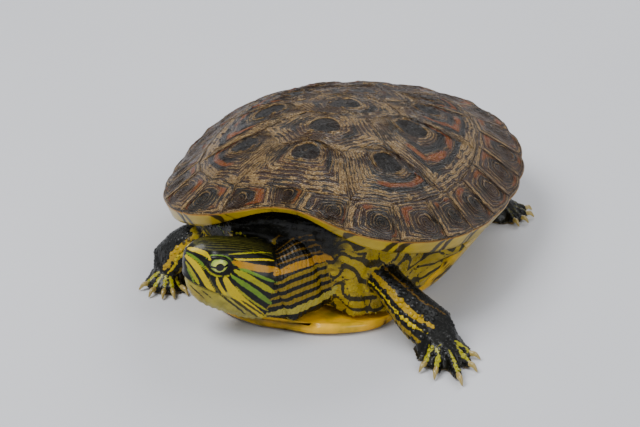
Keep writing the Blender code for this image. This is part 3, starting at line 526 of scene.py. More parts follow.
@dataclass
class ShellPlan:
    """Plan and dome of the shell: the same design sizes as the frame's solids, in millimetres."""

    half_length: float = 100.0
    rim_width: float = 85.3
    rim_taper: float = -0.044
    rim_square: float = 0.059
    rim_power: float = 0.904
    rim_z: float = 39.0
    rim_tilt: float = 6.0
    rim_saddle: float = 6.7
    rear_flare: float = 0.045
    notch: Point = (9.6, 23.5)
    arch: Point = (9.7, 39.0)
    dome_rise: float = 32.1
    dome_top_y: float = -44.1
    dome_power: float = 2.13
    dome_flare: float = 1.12
    wall: float = 3.6
    keel: Point = (1.3, 6.0)
    groove: float = 0.45
    crown: float = 0.75
    band: Point = (62.5, 81.0, 0.70)
    nuchal_share: float = 0.015
    marginal_shares: Point = (0.075, 0.095, 0.095, 0.070, *[0.075] * 4, *[0.090] * 3, 0.080)
    pleural_shares: Point = (0.335, 0.555, 0.710, 0.890)
    vertebral_halves: Point = (14.0, 28.0)
    vertebral_rows: Point = (-50.0, -30.0, -10.0, 6.0, 22.0, 38.0, 53.0)
    vertebral_mids: Point = (-46.0, -15.0, 18.0, 50.0)
    vertebral_centres: Point = (-57.0, -30.0, 2.0, 35.0, 65.0)
    pleural_centres: tuple[Point, ...] = ((33.0, -44.0), (34.0, -4.0), (34.0, 29.0), (29.0, 55.0))

    def __post_init__(self) -> None:
        """Seams from the shares of the plates, and tables of the rim by angle, for the dome."""
        ends = self.nuchal_share + np.cumsum((0.0, *self.marginal_shares))
        self.marginal_seams = tuple(round(float(e), 3) for e in ends)
        self.pleural_seams = (self.marginal_seams[1], *self.pleural_shares)
        halves = self.vertebral_halves * len(self.vertebral_rows)
        self.vertebral_corners = tuple(zip(halves, self.vertebral_rows))
        self.table = np.array([self.rim(s) for s in np.linspace(-1, 1, 1441)])
        angle = np.arctan2(self.table[:, 0], -(self.table[:, 1] - self.dome_top_y))
        order = np.argsort(angle)
        self.angle = angle[order]
        self.reach = np.hypot(self.table[:, 0], self.table[:, 1] - self.dome_top_y)[order]
        self.edge = self.table[order, 2]

    def rim(self, s: float) -> Array:
        """A place of the rim.

        Args:
            s: 0 at the front and 1 or -1 at the rear; positive on the left.

        Returns:
            The place.
        """
        sn, cs, c2 = math.sin(math.pi * s), math.cos(math.pi * s), math.cos(2 * math.pi * s)
        x = self.rim_width * math.copysign(abs(sn) ** self.rim_power, s)
        x *= 1 + self.rim_taper * cs + self.rim_square * c2
        x *= 1 + self.rear_flare * float(smooth(0.42, 0.70, abs(s)) * (1 - smooth(0.80, 1.0, abs(s))))
        front = 1.0 if cs > 0 else 0.0
        y = -self.half_length * cs + front * self.notch[0] * math.exp(-((x / self.notch[1]) ** 2))
        z = self.rim_z + self.rim_tilt * cs + self.rim_saddle * c2
        return np.array([x, y, z + front * self.arch[0] * math.exp(-((x / self.arch[1]) ** 2))])

    def marginal(self, s: float) -> tuple[float, float]:
        """Where a place of the rim is within its marginal.

        Args:
            s: A place of the rim.

        Returns:
            Share of the way round its marginal, and the swell of the rim there.
        """
        a = abs(s)
        seams = (-self.marginal_seams[0],) + self.marginal_seams
        for low, high in zip(seams, seams[1:]):
            if low <= a <= high:
                t = (a - low) / (high - low)
                return t, (0.2 + 2.2 * max(0.0, a - 0.25) / 0.75) * 4 * t * (1 - t)
        return 0.0, 0.0

    def rim_plan(self, s: float) -> Point:
        """Plan of the scalloped rim."""
        p = self.rim(s)
        out = unit(p[:2]) * self.marginal(s)[1]
        return float(p[0] + out[0]), float(p[1] + out[1])

    def dome(self, x: Array, y: Array) -> Array:
        """Height of the smooth carapace.

        Args:
            x: Plan position.
            y: Plan position.

        Returns:
            Heights.
        """
        angle = np.arctan2(x, -(y - self.dome_top_y))
        reach = np.interp(angle, self.angle, self.reach, period=2 * math.pi)
        edge = np.interp(angle, self.angle, self.edge, period=2 * math.pi)
        u = np.minimum(1.0, np.hypot(x, y - self.dome_top_y) / reach)
        keel = self.keel[0] * bump(x, 0.0, self.keel[1]) * (1 - u**4)
        rise = self.rim_z + self.dome_rise - edge
        return edge + rise * (1 - u**self.dome_power) ** self.dome_flare + keel

    def band_point(self, s: float) -> Point:
        """Plan of the seam inside the marginals."""
        sn, cs = math.sin(math.pi * s), math.cos(math.pi * s)
        return self.band[0] * math.copysign(abs(sn) ** self.band[2], s), -self.band[1] * cs

    def lip(self, x: float, y: float) -> tuple[float, float]:
        """How far the marginals turn down and in under the rim."""
        side = math.exp(-(((y + 6.0) / 44.0) ** 2))
        out = float(smooth(6.0, 44.0, abs(x)) * (1.0 - 0.5 * smooth(-12.0, 60.0, y)))
        return 3.8 + 3.0 * out + 2.6 * side, 1.8 + 4.0 * side

    def inward(self, x: float, y: float) -> Array:
        """The way from the rim to the middle."""
        return -unit((x, y - np.clip(y, -30.0, 30.0)))

    def layout(self) -> list[tuple[Scute, list[Point], Point]]:
        """Kind, plan outline and growth centre of every scute.

        Returns:
            One row for each scute.
        """
        def mirrored(points: list[Point]) -> list[Point]:
            """The same run of corners on the other side."""
            return [(-x, y) for x, y in reversed(points)]

        def along_band(low: float, high: float) -> list[Point]:
            """The seam inside the marginals, with every corner on it."""
            stops = {low, high, *[m for m in self.marginal_seams + self.pleural_seams if low < m < high]}
            return [self.band_point(s) for s in sorted(stops)]

        plates: list[tuple[Scute, list[Point], Point]] = []
        c, mids = self.vertebral_corners, self.vertebral_mids
        front = along_band(self.marginal_seams[0], self.pleural_seams[0])
        outline = front + [c[0], (0.0, mids[0]), (-c[0][0], c[0][1])] + mirrored(front)
        plates.append((Scute.VERTEBRAL, outline, (0.0, self.vertebral_centres[0])))
        for k in range(3):
            side = [c[2 * k], c[2 * k + 1], c[2 * k + 2]]
            outline = side + [(0.0, mids[k + 1])] + mirrored(side) + [(0.0, mids[k])]
            plates.append((Scute.VERTEBRAL, outline, (0.0, self.vertebral_centres[k + 1])))
        rear = [c[6]] + along_band(self.pleural_seams[4], 1.0)
        outline = rear + mirrored(rear)[1:] + [(0.0, mids[3])]
        plates.append((Scute.VERTEBRAL, outline, (0.0, self.vertebral_centres[4])))
        inner = [[c[1], c[0]], [c[3], c[2], c[1]], [c[5], c[4], c[3]], [c[6], c[5]]]
        for k in range(4):
            outline = along_band(self.pleural_seams[k], self.pleural_seams[k + 1]) + inner[k]
            x, y = self.pleural_centres[k]
            plates += [(Scute.PLEURAL, outline, (x, y)), (Scute.PLEURAL, mirrored(outline), (-x, y))]
        seams = self.marginal_seams
        nuchal = [self.rim_plan(0.0), self.rim_plan(seams[0]), self.band_point(seams[0])]
        plates.append((Scute.MARGINAL, nuchal + mirrored(nuchal[1:]), (0.0, -84.5)))
        for low, high in zip(seams, seams[1:]):
            outline = [self.rim_plan(low + (high - low) * t) for t in (0.0, 0.17, 0.33, 0.5, 0.67, 0.83, 1.0)]
            outline += along_band(low, high)[::-1]
            s = high - 0.30 * (high - low)
            x, y = np.array(self.rim_plan(s)) * 0.60 + np.array(self.band_point(s)) * 0.40
            plates += [(Scute.MARGINAL, outline, (x, y)), (Scute.MARGINAL, mirrored(outline), (-x, y))]
        return plates


@dataclass
class Carapace:
    """The upper shell: inner scutes, marginals and the yellow lip under the rim.

    A ring is its strength, its place from the seam (0) to the growth centre (1), and its half width.
    """

    plan: ShellPlan
    ridge_mm: float = 0.52
    areola: float = 0.62
    lumps: tuple[Point, Point] = ((7.0, 4.0), (2.1, 9.0))
    brow_ring: Point = (1.0, 0.59, 0.026)
    pleural_rust: tuple[Point, ...] = ((1.0, 0.285, 0.045), (0.35, 0.475, 0.020))
    pleural_ink: tuple[Point, ...] = ((1.2, 0.390, 0.050), (1.0, 0.205, 0.036))
    marginal_rust: Point = (0.62, 0.26, 0.11)
    marginal_ink: Point = (0.55, 0.46, 0.10)
    vertebral_rust: Point = (0.35, 0.42, 0.05)
    vertebral_ink: Point = (0.8, 0.36, 0.07)
    layers: tuple[str, ...] = ("ridge", "rust", "ink", "worn", "phase")
    lip_bars: tuple[Point, ...] = ((-0.12, 0.055), (0.11, 0.070))
    lip_grid: tuple[int, int] = (900, 15)

    def seam_loop(self, bm: bmesh.types.BMesh, known: dict, outline: list[Point], step: float) -> list:
        """The points round one plate; neighbours share those of their seam.

        Args:
            bm: Mesh that the points go in.
            known: Points so far, by place.
            outline: Corners of the plate.
            step: Distance between points.

        Returns:
            The points, in order.
        """
        loop = []
        for (x0, y0), (x1, y1) in zip(outline, outline[1:] + outline[:1]):
            parts = max(1, math.ceil(math.hypot(x1 - x0, y1 - y0) / step))
            a, b = ((x0, y0), (x1, y1)) if (x0, y0) < (x1, y1) else ((x1, y1), (x0, y0))
            for i in range(parts):
                t = i / parts if (x0, y0) < (x1, y1) else 1 - i / parts
                key = (round(a[0] + (b[0] - a[0]) * t, 3), round(a[1] + (b[1] - a[1]) * t, 3))
                if key not in known:
                    known[key] = bm.verts.new((*key, 0.0))
                loop.append(known[key])
        return loop

    def relief(self, kind: Scute, x: Array, y: Array, q: float, lean: Array,
               turn: Array) -> tuple[Array, dict[str, Array]]:
        """Height and wear of one ring.

        Args:
            kind: Kind of the plate.
            x: Plan position.
            y: Plan position.
            q: 0 at the seam and 1 at the growth centre.
            lean: 1 where the ring faces the rim and -1 where it faces the keel.
            turn: Angle about the growth centre.

        Returns:
            Heights in millimetres, and the values for the material.
        """
        spots = np.column_stack([x, y, np.full(len(x), 7.0 * kind.ridges)])
        slow, quick = (grain(spots, size, seed) for size, seed in self.lumps)
        phase = kind.ridges / self.areola * (q + 0.050 * slow + 0.016 * quick)
        wave = bump(phase % 1.0, 0.5, 0.25)
        grown = 1 - smooth(self.areola - 0.02, self.areola + 0.03, q)
        broken = np.clip(0.85 + 1.3 * slow + 1.2 * quick, 0.12, 1.3)
        ridge = wave * grown * broken
        brow = rings(q + 0.03 * slow, self.brow_ring) * broken
        ray = 0.5 + 0.5 * np.cos(turn * (13 if kind is Scute.VERTEBRAL else 17) + 5 * slow)
        core = (1 - grown) * (0.25 * quick + 0.12 * ray)
        rise = self.ridge_mm * (0.8 if kind is Scute.MARGINAL else 1.0)
        z = self.plan.dome(x, y) - self.plan.groove + (self.plan.groove + 0.15) * smooth(0.0, 0.035, q)
        z = z + self.plan.crown * (q**0.8) + rise * (ridge + 0.7 * brow) + core
        z = z + 0.5 * slow * smooth(0.0, 0.2, q)
        low = smooth(-0.15, 0.45, lean)
        if kind is Scute.PLEURAL:
            rust = low * rings(q, *self.pleural_rust) * np.clip(0.9 + 1.2 * slow, 0, 1)
            ink = low * rings(q, *self.pleural_ink) + 0.75 * (1 - grown)
            ink = ink + (1 - low) * rings(q, (0.5, 0.45, 0.08))
        elif kind is Scute.MARGINAL:
            rust = rings(q, self.marginal_rust) * np.abs(np.cos(turn)) * np.clip(0.8 + 2 * slow, 0, 1)
            ink = rings(q, self.marginal_ink) + 0.35 * (1 - grown) + 0.25 * np.clip(2 * slow, 0, 1)
        else:
            rust = rings(q, self.vertebral_rust) * low
            ink = rings(q, self.vertebral_ink) * np.clip(np.cos(2 * turn) + 0.3, 0, 1) + 0.65 * (1 - grown)
        ink = ink + 0.6 * (1 - smooth(0.0, 0.012, q))
        worn = smooth(-30.0, 55.0, y) * 0.8 + 0.5 * smooth(52.0, 82.0, np.abs(x))
        pale = 0.80 * grown * broken + 0.6 * brow - 0.75 * np.clip(rust + ink, 0, 1)
        pale = np.clip(pale, 0, 1.4) * (1 - 0.35 * worn) * (0.78 if kind is Scute.MARGINAL else 1.0)
        pale = pale + 0.50 * (1 - smooth(0.05, 0.24, q)) * broken * (1 - 0.5 * worn)
        return z, {name: np.broadcast_to(value, x.shape)
                   for name, value in zip(self.layers, (pale, rust, ink, worn, phase))}

    def grow_plate(self, bm: bmesh.types.BMesh, known: dict, plate: tuple[Scute, list[Point], Point]) -> None:
        """Insets one plate ring by ring to its growth centre, each ring with its ridges.

        Args:
            bm: Mesh that the plate goes in.
            known: Seam points so far, by place.
            plate: Kind, outline and growth centre.
        """
        kind, outline, centre = plate
        face = bm.faces.new(self.seam_loop(bm, known, outline, kind.step))
        layers = [bm.verts.layers.float[name] for name in self.layers]
        middle = np.array(centre)
        base = np.array([v.co[:2] for v in face.verts])
        out = base - middle
        far = np.hypot(out[:, 0], out[:, 1])
        turn = np.arctan2(out[:, 1], out[:, 0])
        if abs(middle[0]) > 1:
            rim_way = unit(middle - np.array([0.0, np.clip(middle[1], -40.0, 40.0)]))
        else:
            rim_way = np.array([0.0, -1.0 if middle[1] < 0 else 1.0])
        lean = (out / far[:, None]) @ rim_way
        first = 0.45 / float(far.mean())
        stops = [0.0, first, 2.2 * first] + list(np.linspace(3.4 * first, 0.93, kind.rings))
        for q in stops:
            if q > 0:
                bmesh.ops.inset_individual(bm, faces=[face], thickness=1e-4, depth=0.0)
            round_share = 0.85 * smooth(0.0, 0.60, q)
            reach = (1 - q) * ((1 - round_share) * far + round_share * 0.5 * (far.mean() + far.min()))
            plan = middle + out / far[:, None] * reach[:, None]
            z, wear = self.relief(kind, plan[:, 0], plan[:, 1], q, lean, turn)
            for i, v in enumerate(face.verts):
                v.co = (plan[i, 0], plan[i, 1], z[i])
                for layer, name in zip(layers, self.layers):
                    v[layer] = float(wear[name][i])
        bmesh.ops.poke(bm, faces=[face])

    def sheet(self, kinds: tuple[Scute, ...]) -> bmesh.types.BMesh:
        """The outer surface of all plates of some kinds, in metres.

        Args:
            kinds: The kinds.

        Returns:
            The open sheet.
        """
        bm = bmesh.new()
        for name in self.layers:
            bm.verts.layers.float.new(name)
        known: dict = {}
        for plate in self.plan.layout():
            if plate[0] in kinds:
                self.grow_plate(bm, known, plate)
        for v in bm.verts:
            v.co *= MM
        return bm

    def build_inner(self, finish: bpy.types.Material) -> None:
        """Vertebral and pleural scutes, as one closed plate a wall thick.

        Args:
            finish: Its material.
        """
        bm = self.sheet((Scute.VERTEBRAL, Scute.PLEURAL))
        edges = [e for e in bm.edges if len(e.link_faces) == 1]
        for share, down in ((0.995, 2.4), (0.75, 3.2), (0.45, 3.2), (0.15, 3.2)):
            edges = grow_rim(bm, edges, lambda x, y, z, s=share, d=down: (
                x * s, y * s, float(self.plan.dome(np.array(x * s), np.array(y * s))) - d))
        bmesh.ops.holes_fill(bm, edges=edges)
        place("carapace_scutes", bm, finish, ["carapace"])

    def build_marginals(self, finish: bpy.types.Material) -> None:
        """The ring of marginal scutes, closed underneath.

        Args:
            finish: Its material.
        """
        bm = self.sheet((Scute.MARGINAL,))
        edges = [e for e in bm.edges if len(e.link_faces) == 1]
        below = grow_rim(bm, edges, lambda x, y, z: (x * 0.992, y * 0.992, z - 1.0))
        bmesh.ops.bridge_loops(bm, edges=below)
        place("carapace_marginals", bm, finish, ["carapace"])

    def build_lip(self, finish: bpy.types.Material) -> None:
        """The smooth yellow underside of the rim, with a dark bar on each side of every seam.

        Args:
            finish: Its material.
        """
        bm = bmesh.new()
        bmesh.ops.create_grid(bm, x_segments=self.lip_grid[0], y_segments=self.lip_grid[1], size=1.0)
        layers = {name: bm.verts.layers.float.new(name) for name in ("ink", "orange", "seam")}
        for v in bm.verts:
            s, k = v.co.x, (v.co.y + 1) / 2
            x, y = self.plan.rim_plan(s)
            z = self.plan.rim(s)[2]
            down, into = self.plan.lip(x, y)
            way = self.plan.inward(x, y)
            t, _ = self.plan.marginal(s)
            wall = self.plan.wall
            # down the outer face, in under the rim, and back up inside the wall
            stops, ins, ups = zip(
                (0.0, 0.35, -0.25), (0.06, -0.15, -0.45), (0.20, -0.05, -1.2),
                (0.36, 0.55 * into, -0.62 * down), (0.48, into, -down), (0.56, into + 0.8, -down + 0.3),
                (0.68, wall + 0.4, -0.2), (0.82, wall + 3.2, 0.6), (0.90, wall + 1.5, 0.7),
                (1.0, 0.35, -0.25))
            side, rise = float(np.interp(k, stops, ins)), float(np.interp(k, stops, ups))
            edge = min(t, 1 - t)
            dip = 0.35 * math.exp(-((edge / 0.02) ** 2))
            v.co = Vector((x + way[0] * (side + dip), y + way[1] * (side + dip), z + rise)) * MM
            past = (t if t < 0.5 else t - 1) + 0.80 * (k - 0.25) + 0.03 * math.sin(9 * k)
            bars = max(math.exp(-(((past - middle) / half) ** 2)) for middle, half in self.lip_bars)
            v[layers["ink"]] = 0.95 * bars * float(smooth(0.06, 0.15, k)) * (0.35 if abs(s) < 0.09 else 1.0)
            v[layers["orange"]] = 0.5 - 0.4 * float(smooth(0.10, 0.24, k))
            brown = 0.85 * (1 - float(smooth(0.10, 0.20, k)))
            v[layers["seam"]] = 0.5 * math.exp(-((edge / 0.010) ** 2)) + brown
        bmesh.ops.remove_doubles(bm, verts=bm.verts, dist=2e-5)
        place("carapace_lip", bm, finish, ["carapace"])


@dataclass
class Plastron:
    """The lower shell: flat scutes with seams, and a bridge up to the rim on each side."""

    plan: ShellPlan
    front: float = -91.5
    rear: float = 88.0
    wall: float = 3.8
    seams: Point = (-74.0, -52.0, -20.0, 22.0, 54.0)
    seam_half: float = 0.7
    lobe_half: float = 46.0
    bridge: Point = (-41.0, 30.0, 9.0)
    loops: Point = (-38.0, -22.0, -5.0, 12.0, 28.0)
    rows: int = 230
    columns: int = 150
    parts: int = 13

    def share(self, y: float) -> float:
        """1 along the bridge and 0 at the lobes."""
        low, high, soft = self.bridge
        return float(smooth(low - soft, low, y) * (1 - smooth(high, high + soft, y)))

    def half(self, y: float) -> float:
        """Half width of the flat of the plastron."""
        end = self.front - 0.8 if y < 0 else self.rear + 1.0
        return self.lobe_half * max(0.0, 1 - (y / end) ** 6) ** 0.5

    def section(self, y: float) -> tuple[Array, Array, Array, Array]:
        """Half section of the plastron.

        Args:
            y: Place along the shell.

        Returns:
            Outer and inner widths and heights, from the middle out.
        """
        wide, share = self.half(y), self.share(y)
        left = self.plan.table[self.plan.table[:, 0] > 0]
        order = np.argsort(left[:, 1])
        x = float(np.interp(y, left[order, 1], left[order, 0]))
        z = float(np.interp(y, left[order, 1], left[order, 2]))
        down, into = self.plan.lip(x, y)
        top_x, top_z = x - into - 0.8, z - self.plan.groove - down - 1.25
        lift = 1.6 * float(smooth(-74.0, self.front, y)) if y < -74.0 else 0.0
        t = np.linspace(0, 1, self.parts)
        outs = wide + share * (top_x - wide) * t + (1 - share) * 1.6 * t
        ups = share * top_z * (0.18 * t + 0.82 * t * t) + (1 - share) * 1.5 * t * t
        flat = np.linspace(0, 1, self.parts - 1)[:-1] * wide
        xs, zs = np.concatenate([flat, outs]), np.concatenate([0 * flat, ups]) + lift
        steep = share * smooth(0.55, 1.0, xs / xs[-1])
        return xs, zs, xs - 2.8 * steep, np.maximum(zs, 0.0) + self.wall - 3.2 * steep

    def build(self, finish: bpy.types.Material) -> None:
        """The plastron as one closed tube of sections, bridged at the ends.

        Args:
            finish: Its material.
        """
        bm = bmesh.new()
        bmesh.ops.create_grid(bm, x_segments=2 * self.columns, y_segments=self.rows, size=1.0)
        layers = {name: bm.verts.layers.float.new(name) for name in ("ink", "orange", "seam")}
        bm.verts.ensure_lookup_table()
        known: dict = {}
        for v in bm.verts:
            row = round(v.co.y, 5)
            if row not in known:
                y = self.front + (self.rear - self.front) * (row + 1) / 2
                known[row] = (y, self.section(y))
            y, (xs, zs, ixs, izs) = known[row]
            u = v.co.x  # -1..0 is the outer face from the right to the left edge, 0..1 the inner face back
            outer = u < 0
            across = (u + 0.5) * 2 if outer else (0.5 - u) * 2
            k = abs(across) * (len(xs) - 1)
            index = np.arange(len(xs))
            x = float(np.interp(k, index, xs if outer else ixs)) * math.copysign(1, across)
            z = float(np.interp(k, index, zs if outer else izs))
            near = min([abs(y - s + 0.02 * abs(x) * math.sin(s)) for s in self.seams] + [abs(x)])
            seam = math.exp(-((near / self.seam_half) ** 2))
            if outer:
                z += 0.40 * seam if abs(across) < 0.98 else 0.0
            v.co = Vector((x, y, max(z, 0.0))) * MM
            share = self.share(y)
            loops = [math.hypot((y - c) / 6.5, (z - 9.5 - 0.10 * (y - c)) / 5.6) for c in self.loops]
            ring = max(math.exp(-(((d - 1.0 - 0.12 * math.sin(1.3 * y + z)) / 0.17) ** 2)) for d in loops)
            smudge = math.exp(-(((z - 17.0 - 2.0 * math.sin(0.5 * y)) / 1.2) ** 2)) * 0.8
            v[layers["ink"]] = share * float(smooth(2.0, 4.0, z)) * max(ring, smudge) * (1 if outer else 0)
            v[layers["orange"]] = 0.85 - 0.5 * share
            v[layers["seam"]] = seam * (1.0 if outer else 0.0)
        bmesh.ops.remove_doubles(bm, verts=bm.verts, dist=2e-5)
        bmesh.ops.holes_fill(bm, edges=[e for e in bm.edges if len(e.link_faces) == 1])
        place("plastron_scutes", bm, finish, ["plastron"])


# ---------------------------------------------------------------- flesh
class Tone(Enum):
    """Colours of the hide and of its lines."""

    YELLOW = "#BAA200"
    GREEN = "#5C7A1C"
    ORANGE = "#9A6E00"
    OLIVE = "#8E8A10"
    HONEY = "#7C6604"
    AMBER = "#A28200"
    OCHRE = "#5E440C"
    TAN = "#444216"
    PALE = "#9C9034"
    FRONT = "#A28A12"
    CREAM = "#A08A28"
    SOLE = "#90783A"
    HIDE = "#090906"
    CROWN = "#0D0F08"
    WEB = "#1A190D"
    INK = "#090805"

    @property
    def rgb(self) -> Array:
        """The colour as linear numbers."""
        return np.array(linear(self.value))


class Region(Enum):
    """Parts of the flesh, with the frame's nodes that make them."""

    HEAD = ("head", "jaw")
    NECK = ("neck",)
    TRUNK = ("trunk",)
    LEFT_ARM = ("left_upper_arm", "left_forearm")
    RIGHT_ARM = ("right_upper_arm", "right_forearm")
    LEFT_LEG = ("left_thigh", "left_shank")
    RIGHT_LEG = ("right_thigh", "right_shank")
    LEFT_HAND = ("left_forefoot",)
    RIGHT_HAND = ("right_forefoot",)
    LEFT_FOOT = ("left_hindfoot",)
    RIGHT_FOOT = ("right_hindfoot",)
    TAIL = ("tail",)

    @property
    def code(self) -> int:
        """Its number in the tables of regions."""
        return list(Region).index(self)

    @property
    def front(self) -> bool:
        """Whether it is part of a front limb."""
        return self in (Region.LEFT_ARM, Region.RIGHT_ARM, Region.LEFT_HAND, Region.RIGHT_HAND)


def bvh_of(mesh: bpy.types.Mesh) -> bvhtree.BVHTree:
    """A search tree over a mesh, in metres."""
    mesh.calc_loop_triangles()
    return bvhtree.BVHTree.FromPolygons([v.co for v in mesh.vertices],
                                        [tuple(t.vertices) for t in mesh.loop_triangles])


@dataclass(eq=False)
class HeadForm:
    """The head's own frame: forward, left and up from between the eyes, in millimetres."""

    origin: Point = (-28.6, -96.6, 37.2)
    turn: float = 62.0
    pitch: float = 15.0
    eye_side: float = 5.75
    eye_radius: float = 5.2
    opening: Point = (4.5, 2.95)
    lid_stops: Point = (0.0, 0.90, 1.03, 1.14, 1.28, 1.40, 1.52, 1.8)
    lid_rises: Point = (-0.9, -0.9, 0.42, 0.72, 0.55, 0.20, 0.55, 0.8)
    mouth: tuple[Point, ...] = ((12.5, -11.0), (0.0, -12.5), (-7.5, -13.5))
    ear: Point = (-15.5, -6.5)
    ear_size: Point = (4.6, 4.2)
    nostril: Point = (13.2, 1.45, -0.6)

    def __post_init__(self) -> None:
        """Axes of the frame, one a row."""
        t, p = math.radians(self.turn), math.radians(self.pitch)
        ahead = np.array([-math.sin(t) * math.cos(p), -math.cos(t) * math.cos(p), math.sin(p)])
        left = np.array([math.cos(t), -math.sin(t), 0.0])
        self.axes = np.array([ahead, left, np.cross(ahead, left)])

    def to_world(self, points: Array) -> Array:
        """Points of the head's frame in the model's frame."""
        return np.asarray(points, float) @ self.axes + np.array(self.origin)

    def eye(self, side: float) -> Array:
        """Middle of the left eyeball for side 1, and of the right one for side -1."""
        return self.to_world(np.array([0.0, side * self.eye_side, 0.0]))

    def to_head(self, points: Array) -> Array:
        """Points of the model's frame in the head's frame."""
        return (points - np.array(self.origin)) @ self.axes.T

    def sculpt(self, points: Array, normals: Array) -> Array:
        """Lids, brow, nostrils, beak, mouth and ear of the head.

        Args:
            points: Positions in the model's frame.
            normals: Their normals.

        Returns:
            The moved points.
        """
        own = self.to_head(points)
        t, l, u = own.T
        push = np.zeros(len(points))
        push += 0.55 * bump(u, 4.7, 1.3) * bump(t, -0.5, 6.0) * smooth(4.0, 7.0, np.abs(l))
        groove = np.full(len(points), 99.0)
        above = np.zeros(len(points))
        flat, mouth = np.column_stack([t, u]), np.array(self.mouth)
        for a, b in zip(mouth, mouth[1:]):
            k = np.clip(((flat - a) @ (b - a)) / float((b - a) @ (b - a)), 0, 1)
            gap = flat - (a + k[:, None] * (b - a))
            far = np.hypot(gap[:, 0], gap[:, 1])
            above = np.where(far < groove, gap[:, 1], above)
            groove = np.minimum(groove, far)
        shut = smooth(-8.5, -6.0, t)
        push -= 0.75 * bump(groove, 0.0, 0.42) * shut
        push += 0.38 * bump(above, 0.95, 0.6) * shut * (groove < 3.0)
        push -= 0.45 * bump(above, -1.3, 0.9) * smooth(4.0, 9.0, t) * (groove < 3.0)
        ear = np.hypot((t - self.ear[0]) / self.ear_size[0], (u - self.ear[1]) / self.ear_size[1])
        drum = 0.18 * bump(ear, 1.1, 0.15) - 0.30 * (1 - smooth(0.7, 1.0, ear))
        push += drum * smooth(8.0, 12.0, np.abs(l))
        for side in (-1.0, 1.0):
            hole = np.linalg.norm(own - np.array(self.nostril) * (1.0, side, 1.0), axis=1)
            push += rings(hole, (-1.0, 0.0, 0.62), (0.15, 1.15, 0.35))
        folds = 0.20 * np.sin(2 * math.pi * t / 3.1 + 1.5 * np.sin(0.5 * l))
        push += folds * smooth(-15.0, -18.0, u) * smooth(6.0, 0.0, t)
        points = points + normals * push[:, None]
        for side in (-1.0, 1.0):
            away = points - self.eye(side)
            far = np.linalg.norm(away, axis=1)
            near = (l * side > self.eye_side - 1.0) & (far < 10.5)
            wide = np.where(t > 0, self.opening[0] * (1.0 + 0.06 * (u < 0)), self.opening[0])
            e = np.hypot(t / wide, (u - 0.25 + 0.02 * t) / self.opening[1])
            lid = self.eye_radius + np.interp(e, self.lid_stops, self.lid_rises)
            hold = np.where(near, 1 - smooth(1.36, 1.95, e), 0.0)
            points = points + away / far[:, None] * ((lid - far) * hold)[:, None]
        return points


@dataclass(eq=False)
class Tube:
    """A bent tube of elliptical sections: a limb, the neck or the tail."""

    stations: tuple
    turns: tuple[Point, ...] = ()

    def __post_init__(self) -> None:
        """Samples the middle line and the sections along it."""
        centres = np.array([s[0] for s in self.stations], float)
        self.at_s = np.linspace(0, len(centres) - 1, 24 * (len(centres) - 1) + 1)
        self.line = np.array([on_curve(centres, s) for s in self.at_s])
        index = np.arange(len(centres))
        self.wide = np.interp(self.at_s, index, [s[1] for s in self.stations])
        self.thick = np.interp(self.at_s, index, [s[2] for s in self.stations])
        if self.turns:
            t, p = (np.radians(np.interp(self.at_s, index, [v[k] for v in self.turns])) for k in (0, 1))
            self.along = np.column_stack([-np.sin(t) * np.cos(p), -np.cos(t) * np.cos(p), np.sin(p)])
            self.across = np.column_stack([np.cos(t), -np.sin(t), 0 * t])
        else:
            self.along = np.gradient(self.line, axis=0)
            self.along /= np.linalg.norm(self.along, axis=1)[:, None]
            sides = np.array([s[3] for s in self.stations], float).T
            side = np.column_stack([np.interp(self.at_s, index, part) for part in sides])
            side -= (side * self.along).sum(1)[:, None] * self.along
            self.across = side / np.linalg.norm(side, axis=1)[:, None]
        self.up = np.cross(self.along, self.across)
        self.reach = np.concatenate([[0], np.cumsum(np.linalg.norm(np.diff(self.line, axis=0), axis=1))])

    def at(self, s: float, angle: float) -> Array:
        """The surface point at a station number and an angle in degrees from across towards up."""
        k = int(np.argmin(np.abs(self.at_s - s)))
        a = math.radians(angle)
        sideways, upward = self.across[k] * self.wide[k], self.up[k] * self.thick[k]
        return self.line[k] + sideways * math.cos(a) + upward * math.sin(a)

    def find(self, points: Array) -> tuple[Array, Array, Array]:
        """Places in terms of the tube.

        Args:
            points: Places near the tube.

        Returns:
            Index of the nearest sample, distance along in millimetres, and angle in degrees.
        """
        near = np.empty(len(points), int)
        for start in range(0, len(points), 20000):
            part = points[start:start + 20000]
            gap = ((part[:, None, :] - self.line[None]) ** 2).sum(2)
            near[start:start + 20000] = gap.argmin(1)
        away = points - self.line[near]
        slip = (away * self.along[near]).sum(1)
        angle = np.degrees(np.arctan2((away * self.up[near]).sum(1) / self.thick[near],
                                      (away * self.across[near]).sum(1) / self.wide[near]))
        return near, self.reach[near] + slip, angle


